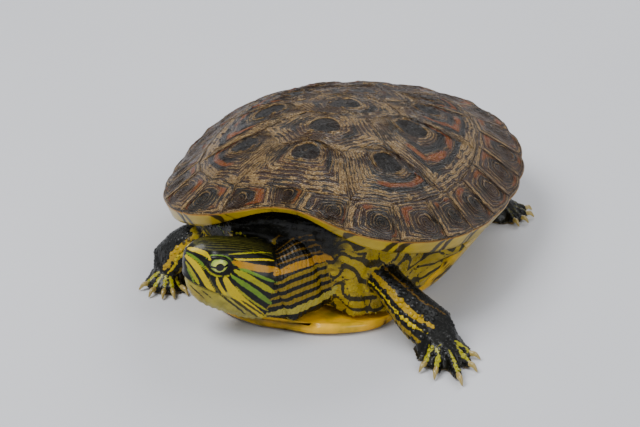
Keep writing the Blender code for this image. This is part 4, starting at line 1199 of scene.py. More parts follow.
@dataclass(eq=False)
class Foot:
    """Plan of a webbed foot: palm, toe headings in degrees from the front, and reaches."""

    palm: Point
    headings: Point
    reaches: Point

    def toes(self, points: Array) -> tuple[Array, Array, Array]:
        """Places in terms of the foot.

        Args:
            points: Places on the foot.

        Returns:
            Distance from the palm, distance sideways from the nearest toe, and share of its reach.
        """
        away = points[:, :2] - np.array(self.palm)
        far = np.hypot(away[:, 0], away[:, 1])
        side, share = np.full(len(points), 99.0), np.zeros(len(points))
        for heading, reach in zip(self.headings, self.reaches):
            ahead, across = on_floor(heading)
            along, off = away @ ahead[:2], np.abs(away @ across[:2])
            off = np.where(along > 0, off, 99.0)
            share = np.where(off < side, along / reach, share)
            side = np.minimum(side, off)
        return far, side, share

    def sculpt(self, points: Array, normals: Array) -> Array:
        """Presses the webs down between the toes, and gives the toes rounded tops with creases.

        Args:
            points: Places on the foot.
            normals: Normals there.

        Returns:
            The moved points.
        """
        far, side, share = self.toes(points)
        z = points[:, 2]
        top = smooth(0.9, 2.6, z) * smooth(0.36, 0.62, share) * (1 - smooth(8.5, 12.0, z))
        web = smooth(1.3, 2.9, side)
        points = points.copy()
        points[:, 2] -= top * web * (z - 1.1) * 0.66
        crease = np.abs(np.sin(far * math.pi / 2.3))
        swell = 0.45 * (1 - (side / 2.4) ** 2).clip(0) - 0.32 * bump(crease, 0.0, 0.35)
        return points + normals * (top * (1 - web) * swell)[:, None]


@dataclass
class Body:
    """The sizes of every soft part, the same as the frame's solids."""

    head: HeadForm = HeadForm()
    neck: Tube = Tube(
        (((4.0, -64.0, 28.5), 16.5, 17.0), ((2.0, -73.0, 25.8), 16.4, 18.4),
         ((-3.5, -80.5, 24.0), 15.6, 18.0), ((-10.4, -86.9, 21.3), 14.4, 15.6)),
        ((12.0, -4.0), (27.0, 2.0), (45.0, 8.0), (62.0, 15.0)))
    left_arm: Tube = Tube(
        (((29.0, -62.0, 25.0), 8.0, 8.0, (0.5, 0.5, 0.7)), ((42.0, -74.0, 21.5), 8.0, 7.0, (0.5, 0.55, 0.67)),
         ((55.0, -82.5, 14.5), 9.8, 6.2, (0.5, 0.6, 0.6)),
         ((64.5, -85.5, 9.2), 11.8, 5.0, (0.62, 0.78, 0.2))))
    right_arm: Tube = Tube(
        (((-33.0, -55.0, 26.0), 8.0, 8.0, (0.8, -0.5, 0.0)),
         ((-48.0, -59.5, 25.5), 8.6, 7.2, (0.8, -0.5, 0.2)),
         ((-60.0, -62.5, 18.0), 9.8, 6.0, (0.8, -0.55, 0.1)),
         ((-66.0, -63.5, 9.5), 9.8, 5.2, (0.85, -0.5, 0.0))))
    left_leg: Tube = Tube(
        (((38.0, 54.0, 21.0), 9.5, 8.5, (0.3, 1.0, 0.2)), ((54.0, 53.0, 20.0), 8.8, 7.4, (0.1, 1.0, 0.1)),
         ((63.0, 47.0, 13.5), 8.8, 5.8, (0.1, 1.0, 0.0)), ((68.5, 43.5, 8.2), 9.2, 4.8, (0.1, 1.0, 0.0))))
    right_leg: Tube = Tube(
        (((-38.0, 54.0, 21.0), 9.5, 8.5, (-0.3, 1.0, 0.2)), ((-53.0, 56.0, 20.0), 8.8, 7.4, (-0.2, 1.0, 0.1)),
         ((-61.0, 54.0, 13.5), 8.8, 5.8, (-0.2, 1.0, 0.0)),
         ((-65.5, 51.5, 8.2), 9.2, 4.8, (-0.2, 1.0, 0.0))))
    tail: Tube = Tube(
        (((0.0, 66.0, 18.0), 8.0, 7.0, (1, 0.2, 0)), ((1.5, 80.0, 14.0), 6.6, 5.8, (1, 0.2, 0)),
         ((6.5, 91.0, 9.5), 4.6, 4.2, (1, 0.2, 0)), ((13.0, 98.5, 6.0), 2.8, 2.6, (1, 0.2, 0)),
         ((19.5, 102.5, 4.2), 1.1, 1.1, (1, 0.2, 0))))
    left_hand: Foot = Foot((69.2, -89.0), (-18, 4, 31, 58, 86), (15.3, 18.0, 23.0, 17.4, 13.6))
    right_hand: Foot = Foot((-64.8, -65.0), (-44, -13, 11, 30, 54), (11.6, 12.7, 12.6, 13.0, 12.8))
    left_foot: Foot = Foot((71.0, 41.0), (50, 76, 102, 128), (11.0, 12.0, 13.5, 14.5))
    right_foot: Foot = Foot((-68.0, 50.0), (-56, -82, -108, -134), (11.0, 13.5, 13.5, 12.0))

    @property
    def limbs(self) -> dict[Region, Tube]:
        """Tubes by region."""
        return {Region.LEFT_ARM: self.left_arm, Region.RIGHT_ARM: self.right_arm,
                Region.LEFT_LEG: self.left_leg, Region.RIGHT_LEG: self.right_leg, Region.TAIL: self.tail}

    @property
    def feet(self) -> dict[Region, Foot]:
        """Feet by region."""
        return {Region.LEFT_HAND: self.left_hand, Region.RIGHT_HAND: self.right_hand,
                Region.LEFT_FOOT: self.left_foot, Region.RIGHT_FOOT: self.right_foot}


@dataclass
class Stroke:
    """One line of the pattern: points by the hide, full width in millimetres, colour and outward side."""

    points: Array
    width: float
    tone: Tone
    way: Array | None = None

    @property
    def dark(self) -> bool:
        """Whether it is drawn over the pale ground."""
        return self.tone is Tone.INK


@dataclass(frozen=True)
class Sweep:
    """A line on the side of the head, in millimetres ahead of and above the middle of the eye.

    It leaves one place in a direction and arrives at another, in degrees from ahead towards up.
    """

    tone: Tone
    width: float
    start: Point
    leave: float
    end: Point
    arrive: float

    def run(self) -> Array:
        """Places along the line.

        Returns:
            Places ahead of and above the eye.
        """
        a, b = np.array(self.start), np.array(self.end)
        length = np.linalg.norm(b - a)
        turns = np.radians((self.leave, self.arrive))
        first, last = np.column_stack([np.cos(turns), np.sin(turns)]) * length
        t = np.linspace(0, 1, 9)[:, None]
        turn = t * t * (3 - 2 * t)
        return a + (b - a) * turn + first * t * (1 - t) ** 2 - last * t * t * (1 - t)


@dataclass
class Markings:
    """The pattern of the hide, drawn as strokes on the surface: the same for the skin and for its scales."""

    body: Body
    step: float = 1.3
    sweeps: tuple[Sweep, ...] = (
        # from the snout back to the eye, and under it to the corner of the mouth
        Sweep(Tone.YELLOW, 1.8, (13.0, 2.0), 145, (4.5, 2.0), 225),
        Sweep(Tone.GREEN, 1.1, (13.5, 0.5), 175, (5.5, -3.0), 240),
        Sweep(Tone.YELLOW, 2.6, (13.5, -1.0), 190, (0.0, -12.0), 215),
        Sweep(Tone.OLIVE, 1.5, (13.0, -3.5), 225, (6.5, -10.5), 230),
        Sweep(Tone.GREEN, 0.7, (12.0, -6.0), 235, (8.5, -10.5), 235),
        Sweep(Tone.YELLOW, 1.5, (0.0, -5.5), 255, (-5.0, -12.0), 225),
        Sweep(Tone.TAN, 0.8, (3.0, -5.5), 260, (-2.5, -12.0), 225),
        # the fan behind the eye
        Sweep(Tone.YELLOW, 3.8, (-3.5, -5.0), 235, (-24.5, -21.0), 215),
        Sweep(Tone.OLIVE, 0.9, (-8.5, -7.0), 220, (-25.0, -17.0), 215),
        Sweep(Tone.GREEN, 2.0, (-6.0, -3.0), 200, (-25.0, -12.8), 220),
        Sweep(Tone.OLIVE, 2.3, (-6.5, -0.5), 185, (-25.0, -7.0), 205),
        Sweep(Tone.GREEN, 1.1, (-8.0, 1.0), 180, (-25.0, -2.5), 195),
        Sweep(Tone.ORANGE, 2.6, (-5.5, 2.5), 180, (-25.0, 2.5), 180),
        Sweep(Tone.YELLOW, 0.8, (-5.5, 4.0), 175, (-23.0, 5.0), 190),
        Sweep(Tone.OLIVE, 0.6, (-3.0, 5.2), 170, (-22.0, 6.6), 190))
    jaw_bars: tuple[Point, ...] = (
        (10.0, 4.5, 0.7), (5.0, 3.0, 0.6), (-3.0, 7.0, 1.0), (-7.5, 7.5, 1.3), (-12.0, 6.5, 0.9))
    jaw_edge: tuple[Point, Point] = ((-24.0, -20.0, -15.0, -10.0, -6.0, -3.0, 9.0),
                                     (-21.5, -17.5, -14.0, -11.0, -9.5, -12.3, -11.2))
    crown_lines: Point = (0.3, 1.5, 2.8, 4.0, 5.2, 6.4)
    neck_lines: tuple[tuple[Tone, float, float], ...] = (
        (Tone.OCHRE, 0.7, 84.0), (Tone.OCHRE, 0.8, 74.0), (Tone.OCHRE, 0.9, 64.0), (Tone.OCHRE, 0.9, 54.0),
        (Tone.ORANGE, 2.9, 40.0), (Tone.HONEY, 1.6, 24.0), (Tone.HONEY, 1.9, 10.0), (Tone.HONEY, 1.8, -4.0),
        (Tone.HONEY, 1.8, -18.0), (Tone.PALE, 3.0, -36.0), (Tone.INK, 1.6, -56.0), (Tone.INK, 1.6, -74.0))
    arm_lines: tuple[tuple[Region, Tone, float, float, float], ...] = (
        (Region.LEFT_ARM, Tone.AMBER, 2.7, 105.0, 98.0), (Region.LEFT_ARM, Tone.YELLOW, 1.0, 140.0, 118.0),
        (Region.LEFT_ARM, Tone.HONEY, 1.8, 160.0, 150.0), (Region.LEFT_ARM, Tone.OCHRE, 0.9, 64.0, 52.0),
        (Region.RIGHT_ARM, Tone.AMBER, 2.8, 28.0, 66.0), (Region.RIGHT_ARM, Tone.YELLOW, 1.2, 0.0, 45.0))

    def __post_init__(self) -> None:
        """Lays out all strokes in the model's frame."""
        self.lines: list[Stroke] = []
        self.draw_head()
        self.draw_neck()
        self.draw_limbs()

    def on_head(self, places: Array, width: float, tone: Tone) -> None:
        """Adds a line of the head's side view, on both sides."""
        for side, last in ((1.0, -26.0), (-1.0, -20.5)):
            here = places[places[:, 0] > last]
            own = np.column_stack([here[:, 0], np.full(len(here), 12.0 * side), here[:, 1]])
            way = self.body.head.axes[1] * side
            self.lines.append(Stroke(self.body.head.to_world(own), width, tone, way))

    def draw_head(self) -> None:
        """The sweeps, the arcs of the lids, the bars of the jaw and the thin lines of the crown."""
        for sweep in self.sweeps:
            self.on_head(sweep.run(), sweep.width, sweep.tone)
        for low, high, tone, width in ((15, 165, Tone.GREEN, 0.6), (200, 335, Tone.OLIVE, 0.8)):
            arc = np.radians(np.linspace(low, high, 7))
            self.on_head(np.column_stack([6.1 * np.cos(arc), 4.5 * np.sin(arc)]), width, tone)
        self.on_head(np.array(self.body.head.mouth), 0.5, Tone.TAN)
        for ahead, reach, width in self.jaw_bars:
            start, end = (ahead, -13.0), (ahead - 1.8 * reach, -13.0 - reach)
            self.on_head(Sweep(Tone.INK, width, start, 200, end, 215).run(), width, Tone.INK)
        for off in self.crown_lines:
            for side in (1.0, -1.0):
                t = np.linspace(11.0, -23.0, 9)
                own = np.column_stack([t, side * off * smooth(16.0, 3.0, t), np.full(len(t), 20.0)])
                run, way = self.body.head.to_world(own), self.body.head.axes[2]
                self.lines.append(Stroke(run, 0.5, Tone.TAN, way))

    def draw_neck(self) -> None:
        """Lines along the neck, which sink and draw together towards the body."""
        for tone, width, angle in self.neck_lines:
            sunk = 0.87 * angle - 3.0 - 9.0 * float(bump(angle, 52.0, 20.0))
            for mirror in (False,) if tone is Tone.ORANGE else (False, True):
                run = []
                for s in (1.4, 1.0, 0.7, 0.4) if mirror else (3.0, 2.5, 2.0, 1.5, 1.0, 0.4):
                    here = sunk + (angle - sunk) * (s - 1.0) / 2.0
                    run.append(self.body.neck.at(s, 180 - here if mirror else here))
                self.lines.append(Stroke(np.array(run), width, tone))

    def draw_limbs(self) -> None:
        """Lines along the limbs and the tail, and one on each toe."""
        for region, tone, width, high, low in self.arm_lines:
            tube = self.body.limbs[region]
            first = 0.7 if region is Region.LEFT_ARM else 1.3
            run = [tube.at(s, high + (low - high) * s / 3.0) for s in np.linspace(first, 3.0, 8)]
            self.lines.append(Stroke(np.array(run), width, tone))
        for region, tube in self.body.limbs.items():
            if region.front:
                plan = ((200.0, 1.2), (250.0, 1.0))
            else:
                plan = ((20.0, 1.5), (65.0, 0.9), (115.0, 0.9), (160.0, 1.5), (215.0, 1.1), (325.0, 1.1))
            for angle, width in plan:
                run = [tube.at(s, angle) for s in np.linspace(0.3, len(tube.stations) - 1.1, 7)]
                self.lines.append(Stroke(np.array(run), width, Tone.YELLOW if width > 1 else Tone.OCHRE))
        for region, foot in self.body.feet.items():
            width, tone = (1.7, Tone.OLIVE) if region.front else (0.9, Tone.TAN)
            for heading, reach in zip(foot.headings, foot.reaches):
                way = on_floor(heading)[0] * reach
                run = [np.array([*foot.palm, 7.0 - 3.0 * k]) + way * k for k in (0.35, 0.6, 0.8, 1.0)]
                self.lines.append(Stroke(np.array(run), width, tone))

    def fit(self, tree: bvhtree.BVHTree) -> None:
        """Lays every stroke on the surface as a smooth curve.

        Args:
            tree: Search tree of the skin.
        """
        for line in self.lines:
            run = []
            for p in curve_through(line.points, self.step):
                hit = None
                if line.way is not None:
                    hit = tree.ray_cast(Vector((p + 30 * line.way) * MM), Vector(-line.way), 0.06)[0]
                run.append(np.array(hit or tree.find_nearest(Vector(p * MM))[0]) * 1000)
            line.points = np.array(run)

    def measure(self, points: Array) -> tuple[Array, Array, Array]:
        """Signed distances to the strokes.

        Args:
            points: Places on the hide.

        Returns:
            Distance inside the nearest light stroke, its colour, and distance inside the nearest dark one.
        """
        light, dark = np.full(len(points), -3.0), np.full(len(points), -3.0)
        colour = np.tile(Tone.YELLOW.rgb, (len(points), 1))
        for line in self.lines:
            low, high = line.points.min(0) - 3.0, line.points.max(0) + 3.0
            near = np.nonzero(((points > low) & (points < high)).all(1))[0]
            if not len(near):
                continue
            here, best = points[near], np.full(len(near), -3.0)
            count = len(line.points) - 1
            for k, (a, b) in enumerate(zip(line.points, line.points[1:])):
                run = b - a
                t = np.clip((here - a) @ run / max(1e-6, float(run @ run)), 0, 1)
                far = np.linalg.norm(here - a - t[:, None] * run, axis=1)
                taper = 0.55 + 0.45 * np.minimum(1.0, 4.5 * np.minimum((k + t) / count, 1 - (k + t) / count))
                best = np.maximum(best, 0.56 * line.width * taper - far)
            if line.dark:
                dark[near] = np.maximum(dark[near], best)
            else:
                more = best > light[near]
                light[near] = np.where(more, best, light[near])
                colour[near[more]] = line.tone.rgb
        return light, colour, dark

    def paint(self, points: Array, normals: Array, regions: Array) -> dict[str, Array]:
        """All values that the hide's material reads.

        Args:
            points: Places on the hide.
            normals: Normals there.
            regions: Region codes there.

        Returns:
            Ground colour, stroke colour and the two signed distances.
        """
        light, colour, dark = self.measure(points)
        ground = np.tile(Tone.HIDE.rgb, (len(points), 1))
        lumps = grain(points, 5.0, 2.0)

        def blend(tone: Tone, share: Array) -> None:
            """Moves the ground towards a colour."""
            np.copyto(ground, ground + (tone.rgb - ground) * np.clip(share, 0, 1)[:, None])

        t, _, u = self.body.head.to_head(points).T
        head = regions == Region.HEAD.code
        edge = np.interp(t, *self.jaw_edge)
        blend(Tone.CROWN, head * smooth(3.0, 6.0, u) * 0.8)
        blend(Tone.PALE, head * smooth(0.25, -0.25, u - edge + 0.6 * lumps))
        blend(Tone.ORANGE, head * smooth(-11.0, -17.0, u) * smooth(-1.0, 7.0, t) * 0.30)
        _, _, angle = self.body.neck.find(points)
        above = np.abs((angle + 270) % 360 - 180)  # 0 under the neck and 180 over it
        neck = regions == Region.NECK.code
        blend(Tone.PALE, neck * smooth(47.0, 41.0, above + 9 * lumps))
        trunk = regions == Region.TRUNK.code
        front = smooth(-34.0, -42.0, points[:, 1])
        # above the neck, under the carapace rim, the front skin stays black instead of turning yellow: partly
        # the dark skin of the neck's top, partly painted shade under the rim
        dark_and_shaded_nape = smooth(39.0, 32.0, np.abs(points[:, 0] + 14.0) + 6 * lumps) * smooth(28.0, 34.0, points[:, 2])
        blend(Tone.FRONT, trunk * front * (1 - dark_and_shaded_nape))
        wave = points[:, 2] + 3.2 * np.sin(0.40 * points[:, 0] + 5.0 * grain(points, 16.0, 5.0))
        bands = np.abs(((wave + 5.0 * grain(points, 10.0, 21.0)) / 7.5) % 1.0 - 0.5) * 7.5
        loose = np.abs(grain(points * np.array([1.0, 1.0, 0.8]), 7.5, 11.0))
        drawn = np.maximum(1.25 - bands, (0.045 - loose) * 10)
        dark = np.where(trunk & (front > 0.3), np.maximum(dark, drawn), dark)
        rear = smooth(40.0, 60.0, points[:, 1])
        blend(Tone.CREAM, trunk * rear * smooth(14.0, 10.0, points[:, 2] + 2 * lumps) * 0.8)
        limbs = np.isin(regions, [r.code for r in self.body.limbs])
        under = smooth(-0.42, -0.62, normals[:, 2] + 0.25 * lumps)
        blend(Tone.CREAM, limbs * under * 0.85)
        for region, foot in self.body.feet.items():
            mine = regions == region.code
            _, side, share = foot.toes(points)
            blend(Tone.WEB, mine * smooth(1.6, 2.6, side) * smooth(0.45, 0.7, share) * 0.8)
            blend(Tone.SOLE, mine * smooth(1.3, 0.5, points[:, 2]))
        light = np.where(limbs & (under > 0.5), -1.0, light)
        return {"hide": ground, "stripe": colour, "light_mm": light, "ink_mm": dark}

    def store(self, mesh: bpy.types.Mesh, values: dict[str, Array]) -> None:
        """Writes the values on a mesh."""
        for name, value in values.items():
            (add_colours if value.ndim == 2 else add_floats)(mesh, name, value)


@dataclass
class Skin:
    """One skin over all the flesh, under the scales."""

    body: Body
    voxel: float = 1.05
    swell: float = 0.35
    inset: float = 0.40
    rounds: int = 16
    floor: float = 0.12
    neck_folds: tuple[Point, ...] = (
        (-0.9, 2.93, 0.07), (0.8, 2.62, 0.22), (-1.0, 1.25, 0.10), (0.4, 1.55, 0.2))
    joint_folds: tuple[Point, ...] = ((1.0, 1.0, 0.35), (1.0, 2.75, 0.4))

    def gather(self) -> tuple[bpy.types.Mesh, bvhtree.BVHTree, Array]:
        """The frame's flesh as one mesh with the gaps closed, and a search tree that knows the regions.

        Returns:
            The mesh, a search tree over the solids, and the region code of each of its faces.
        """
        bm = bmesh.new()
        corners, faces, codes = [], [], []
        for region in Region:
            for name in region.value:
                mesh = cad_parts[name].data
                mesh.calc_loop_triangles()
                start = len(corners)
                corners += [v.co.copy() for v in mesh.vertices]
                faces += [tuple(start + i for i in t.vertices) for t in mesh.loop_triangles]
                codes += [region.code] * len(mesh.loop_triangles)
                part = bmesh.new()
                part.from_mesh(mesh)
                bmesh.ops.remove_doubles(part, verts=part.verts, dist=1e-6)
                bmesh.ops.recalc_face_normals(part, faces=part.faces)
                part.normal_update()
                for v in part.verts:
                    v.co += v.normal * self.swell * MM
                    if region is Region.TRUNK:
                        y = v.co.y * 1000
                        waist = float(smooth(14.0, 28.0, abs(y + 4.0)))
                        v.co.x *= 0.25 + 0.75 * waist + 0.20 * float(bump(abs(y), 44.0, 9.0))
                        v.co.z = v.co.z * (0.5 + 0.5 * waist) + 0.014 * (1 - waist)
                made = bpy.data.meshes.new(name + "_copy")
                part.to_mesh(made)
                part.free()
                bm.from_mesh(made)
                bpy.data.meshes.remove(made)
        head = self.body.head
        for side in (-1.0, 1.0):
            bmesh.ops.create_icosphere(bm, subdivisions=4, radius=(head.eye_radius + 0.5) * MM,
                                       matrix=Matrix.Translation(Vector(head.eye(side) * MM)))
        return mesh_from(bm, "flesh"), bvhtree.BVHTree.FromPolygons(corners, faces), np.array(codes)

    def remesh(self, mesh: bpy.types.Mesh) -> bpy.types.Mesh:
        """Even faces over the union of all the flesh.

        Args:
            mesh: The flesh.

        Returns:
            The new mesh.
        """
        holder = bpy.data.objects.new("flesh", mesh)
        bpy.context.scene.collection.objects.link(holder)
        maker = holder.modifiers.new("even_faces", "REMESH")
        maker.mode, maker.voxel_size, maker.use_smooth_shade = "VOXEL", self.voxel * MM, True
        graph = bpy.context.evaluated_depsgraph_get()
        made = bpy.data.meshes.new_from_object(holder.evaluated_get(graph))
        bpy.data.objects.remove(holder)
        return made

    @staticmethod
    def relax(points: Array, edges: Array, rounds: int, keep: Array) -> Array:
        """Smooths without shrinking.

        Args:
            points: Vertices.
            edges: Pairs of their numbers.
            rounds: Rounds of smoothing.
            keep: How firmly each vertex stays.

        Returns:
            The moved points.
        """
        degree = np.maximum(1, np.bincount(edges.ravel(), minlength=len(points)))
        for step in range(rounds * 2):
            total = np.zeros_like(points)
            for axis in range(3):
                total[:, axis] = (np.bincount(edges[:, 0], points[edges[:, 1], axis], len(points))
                                  + np.bincount(edges[:, 1], points[edges[:, 0], axis], len(points)))
            way = total / degree[:, None] - points
            points = points + way * ((0.55 if step % 2 == 0 else -0.56) * (1 - keep))[:, None]
        return points

    def nearest(self, points: Array, tree: bvhtree.BVHTree, codes: Array) -> Array:
        """The region of each point."""
        return np.array([codes[tree.find_nearest(Vector(p * MM))[2]] for p in points])

    def wrinkle(self, points: Array, normals: Array, regions: Array) -> Array:
        """Folds and creases of the neck, the front skin, the limbs and the tail.

        Args:
            points: Places on the hide.
            normals: Normals there.
            regions: Region codes there.

        Returns:
            The moved points.
        """
        push = np.zeros(len(points))
        mask = regions == Region.NECK.code
        near, along, _ = self.body.neck.find(points[mask])
        wave = along / 1.45 + 0.5 * grain(points[mask], 6.0, 3.0)
        push[mask] += 0.26 * np.abs(np.sin(math.pi * wave)) - 0.13
        push[mask] += rings(self.body.neck.at_s[near], *self.neck_folds)
        mask = regions == Region.TRUNK.code
        p = points[mask]
        slow = grain(p * np.array([1.0, 1.0, 0.5]), 6.5, 5.0, 2)
        push[mask] += 0.9 * slow * smooth(45.0, 60.0, np.abs(p[:, 1]))
        push[mask] += 0.16 * np.sin(p[:, 2] * 4.2 + 3 * slow)
        for region, tube in self.body.limbs.items():
            mask = regions == region.code
            p = points[mask]
            near, along, _ = tube.find(p)
            creases = np.abs(np.sin(math.pi * along / 2.6 + 1.6 * grain(p, 8.0, 6.0)))
            where = 1.0 if region is Region.TAIL else rings(tube.at_s[near], *self.joint_folds)
            push[mask] -= 0.34 * bump(creases, 0.0, 0.35) * where
            push[mask] += 0.35 * grain(p, 5.0, 7.0)
        return points + normals * push[:, None]

    def build(self, finish: bpy.types.Material, markings: Markings) -> tuple:
        """Makes the skin.

        Args:
            finish: Its material.
            markings: The pattern, which is fitted to it.

        Returns:
            Its points, normals and regions.
        """
        flesh, tree, codes = self.gather()
        mesh = self.remesh(flesh)
        points = coords_of(mesh)
        regions = self.nearest(points, tree, codes)
        edges = np.empty(len(mesh.edges) * 2, np.int32)
        mesh.edges.foreach_get("vertices", edges)
        feet, head = np.isin(regions, [r.code for r in self.body.feet]), regions == Region.HEAD.code
        keep = np.where(feet, 0.45, np.where(head, 0.35, 0.0))
        put_coords(mesh, self.relax(points, edges.reshape(-1, 2), self.rounds, keep))
        bm = bmesh.new()
        bm.from_mesh(mesh)
        bm.verts.ensure_lookup_table()
        fine = {Region.HEAD.code, Region.NECK.code}
        picked = [e for e in bm.edges if {regions[v.index] for v in e.verts} <= fine]
        bmesh.ops.subdivide_edges(bm, edges=picked, cuts=1, use_grid_fill=True, smooth=0.6)
        bmesh.ops.triangulate(bm, faces=[f for f in bm.faces if len(f.verts) > 4])
        bm.to_mesh(mesh)
        bm.free()
        points = coords_of(mesh)
        regions = self.nearest(points, tree, codes)
        normals = normals_of(mesh)
        head = regions == Region.HEAD.code
        points = points - normals * (self.swell + np.where(head, 0.0, self.inset))[:, None]
        points[:, 2] = np.maximum(points[:, 2], self.floor)
        points[head] = self.body.head.sculpt(points[head], normals[head])
        for region, foot in self.body.feet.items():
            mask = regions == region.code
            points[mask] = foot.sculpt(points[mask], normals[mask])
        points = self.wrinkle(points, normals, regions)
        points[:, 2] = np.maximum(points[:, 2], self.floor)
        put_coords(mesh, points)
        normals = normals_of(mesh)
        markings.fit(bvh_of(mesh))
        markings.store(mesh, markings.paint(points, normals, regions))
        nodes = [n for r in Region for n in r.value]
        place("skin", mesh, finish, nodes)
        return points, normals, regions


@dataclass
class ScaleCoat:
    """Scales over the skin: domed six-sided plates that lie back along each limb."""

    body: Body
    markings: Markings
    tilt: float = 8.0
    sides: int = 6
    rise: float = 0.17
    seed: int = 7
    patch: float = 0.003
    tiles: tuple[int, int] = (9, 8)
    margin: float = 0.06
    stretch: Point = (1.08, 0.96)
    cover: float = 0.60
    sink: float = 0.10
    floor: float = 0.05
    small: float = 1.2

    def template(self) -> tuple[Array, Array]:
        """Points and triangles of one closed scale of radius one, its root at -X and its back at -Z.

        Returns:
            The points and the triangles.
        """
        bm = bmesh.new()
        bmesh.ops.create_circle(bm, cap_ends=True, segments=self.sides, radius=1.0)
        top = next(iter(bm.faces))
        bottom = bmesh.ops.duplicate(bm, geom=[top])["geom"]
        below = next(g for g in bottom if isinstance(g, bmesh.types.BMFace))
        below.normal_flip()
        bmesh.ops.inset_individual(bm, faces=[top], thickness=0.36, depth=0.0)
        for v in top.verts:
            v.co.z = self.rise
        for face, height in ((top, self.rise * 1.15), (below, -0.30)):
            middle = bmesh.ops.poke(bm, faces=[face])["verts"][0]
            middle.co.z = height
        bmesh.ops.remove_doubles(bm, verts=bm.verts, dist=1e-5)
        bmesh.ops.triangulate(bm, faces=bm.faces)
        bmesh.ops.recalc_face_normals(bm, faces=bm.faces)
        points = np.array([v.co[:] for v in bm.verts])
        faces = np.array([[v.index for v in f.verts] for f in bm.faces])
        bm.free()
        return points, faces

    def spread(self, points: Array, sizes: Array) -> Array:
        """Picks points that keep their own distance from each other.

        Args:
            points: All the places.
            sizes: Distance that each one keeps.

        Returns:
            Numbers of the picked ones.
        """
        rng = np.random.default_rng(self.seed)
        cell = float(sizes.max())
        taken: dict = {}
        kept = []
        for i in rng.permutation(len(points)):
            p, r = points[i], sizes[i]
            key = tuple((p // cell).astype(int))
            around = (q for x, y, z in product((-1, 0, 1), repeat=3)
                      for q in taken.get((key[0] + x, key[1] + y, key[2] + z), ()))
            if all((p[0] - q[0]) ** 2 + (p[1] - q[1]) ** 2 + (p[2] - q[2]) ** 2 >= r * r for q in around):
                taken.setdefault(key, []).append(p)
                kept.append(i)
        return np.array(kept)

    def lie(self, points: Array, normals: Array, regions: Array) -> Array:
        """The way the scales point: down each limb, out over the toes and back along the neck.

        Args:
            points: Places on the hide.
            normals: Normals there.
            regions: Region codes there.

        Returns:
            Unit vectors along the hide.
        """
        way = np.tile(np.array([0.0, 0.4, -0.9]), (len(points), 1))
        for region, tube in {**self.body.limbs, Region.NECK: self.body.neck}.items():
            mask = regions == region.code
            if mask.any():
                way[mask] = tube.along[tube.find(points[mask])[0]] * (-1.0 if region is Region.NECK else 1.0)
        for region, foot in self.body.feet.items():
            mask = regions == region.code
            away = points[mask] - np.array([*foot.palm, 6.0])
            way[mask] = away * np.array([1.0, 1.0, 0.3])
        way -= (way * normals).sum(1)[:, None] * normals
        return way / np.maximum(1e-6, np.linalg.norm(way, axis=1))[:, None]

    def sizes(self, points: Array, normals: Array, regions: Array) -> Array:
        """Distance between scales, by place.

        Args:
            points: Places on the hide.
            normals: Normals there.
            regions: Region codes there.

        Returns:
            Millimetres, zero where there are no scales.
        """
        out = np.zeros(len(points))
        lumps = 1 + 0.35 * grain(points, 4.0, 8.0)
        out[regions == Region.NECK.code] = 0.95
        trunk = (regions == Region.TRUNK.code) & (np.abs(points[:, 1] + 4.0) > 52)
        out[trunk] = 1.15
        for region, tube in self.body.limbs.items():
            mask = regions == region.code
            s = tube.at_s[tube.find(points[mask])[0]]
            big, facing = (2.1, -normals[mask, 1]) if region.front else (1.7, normals[mask, 2])
            out[mask] = 1.25 + (big - 1.25) * smooth(-0.1, 0.6, facing) * smooth(0.5, 1.3, s)
            if region is Region.TAIL:
                out[mask] = 1.35
        for region, foot in self.body.feet.items():
            mask = regions == region.code
            _, side, share = foot.toes(points[mask])
            toe = smooth(2.0, 1.2, side) * smooth(0.5, 0.6, share)
            out[mask] = np.where(points[mask, 2] < 0.8, 0.0, 1.35 + 0.35 * toe)
        return out * np.where(out > 0, lumps, 0)

    def atlas(self, points: Array, normals: Array, regions: Array) -> Array:
        """Place of each root on an unwrap of the skin: one tile for each region and facing.

        Args:
            points: Places on the hide.
            normals: Normals there.
            regions: Region codes there.

        Returns:
            Two numbers from 0 to 1 a place.
        """
        axis = np.abs(normals).argmax(1)
        facing = axis * 2 + (normals[np.arange(len(points)), axis] > 0)
        out = np.zeros((len(points), 2))
        for region in Region:
            mask = regions == region.code
            if not mask.any():
                continue
            low, high = points[mask].min(0), points[mask].max(0)
            share = (points[mask] - low) / np.maximum(high - low, 1e-6)
            first, second = np.array([1, 0, 0])[axis[mask]], np.array([2, 2, 1])[axis[mask]]
            row = np.arange(mask.sum())
            row_of, column_of = np.divmod(region.code * 6 + facing[mask], self.tiles[0])
            within = 1 - 2 * self.margin
            out[mask, 0] = (column_of + self.margin + within * share[row, first]) / self.tiles[0]
            out[mask, 1] = (row_of + self.margin + within * share[row, second]) / self.tiles[1]
        return out

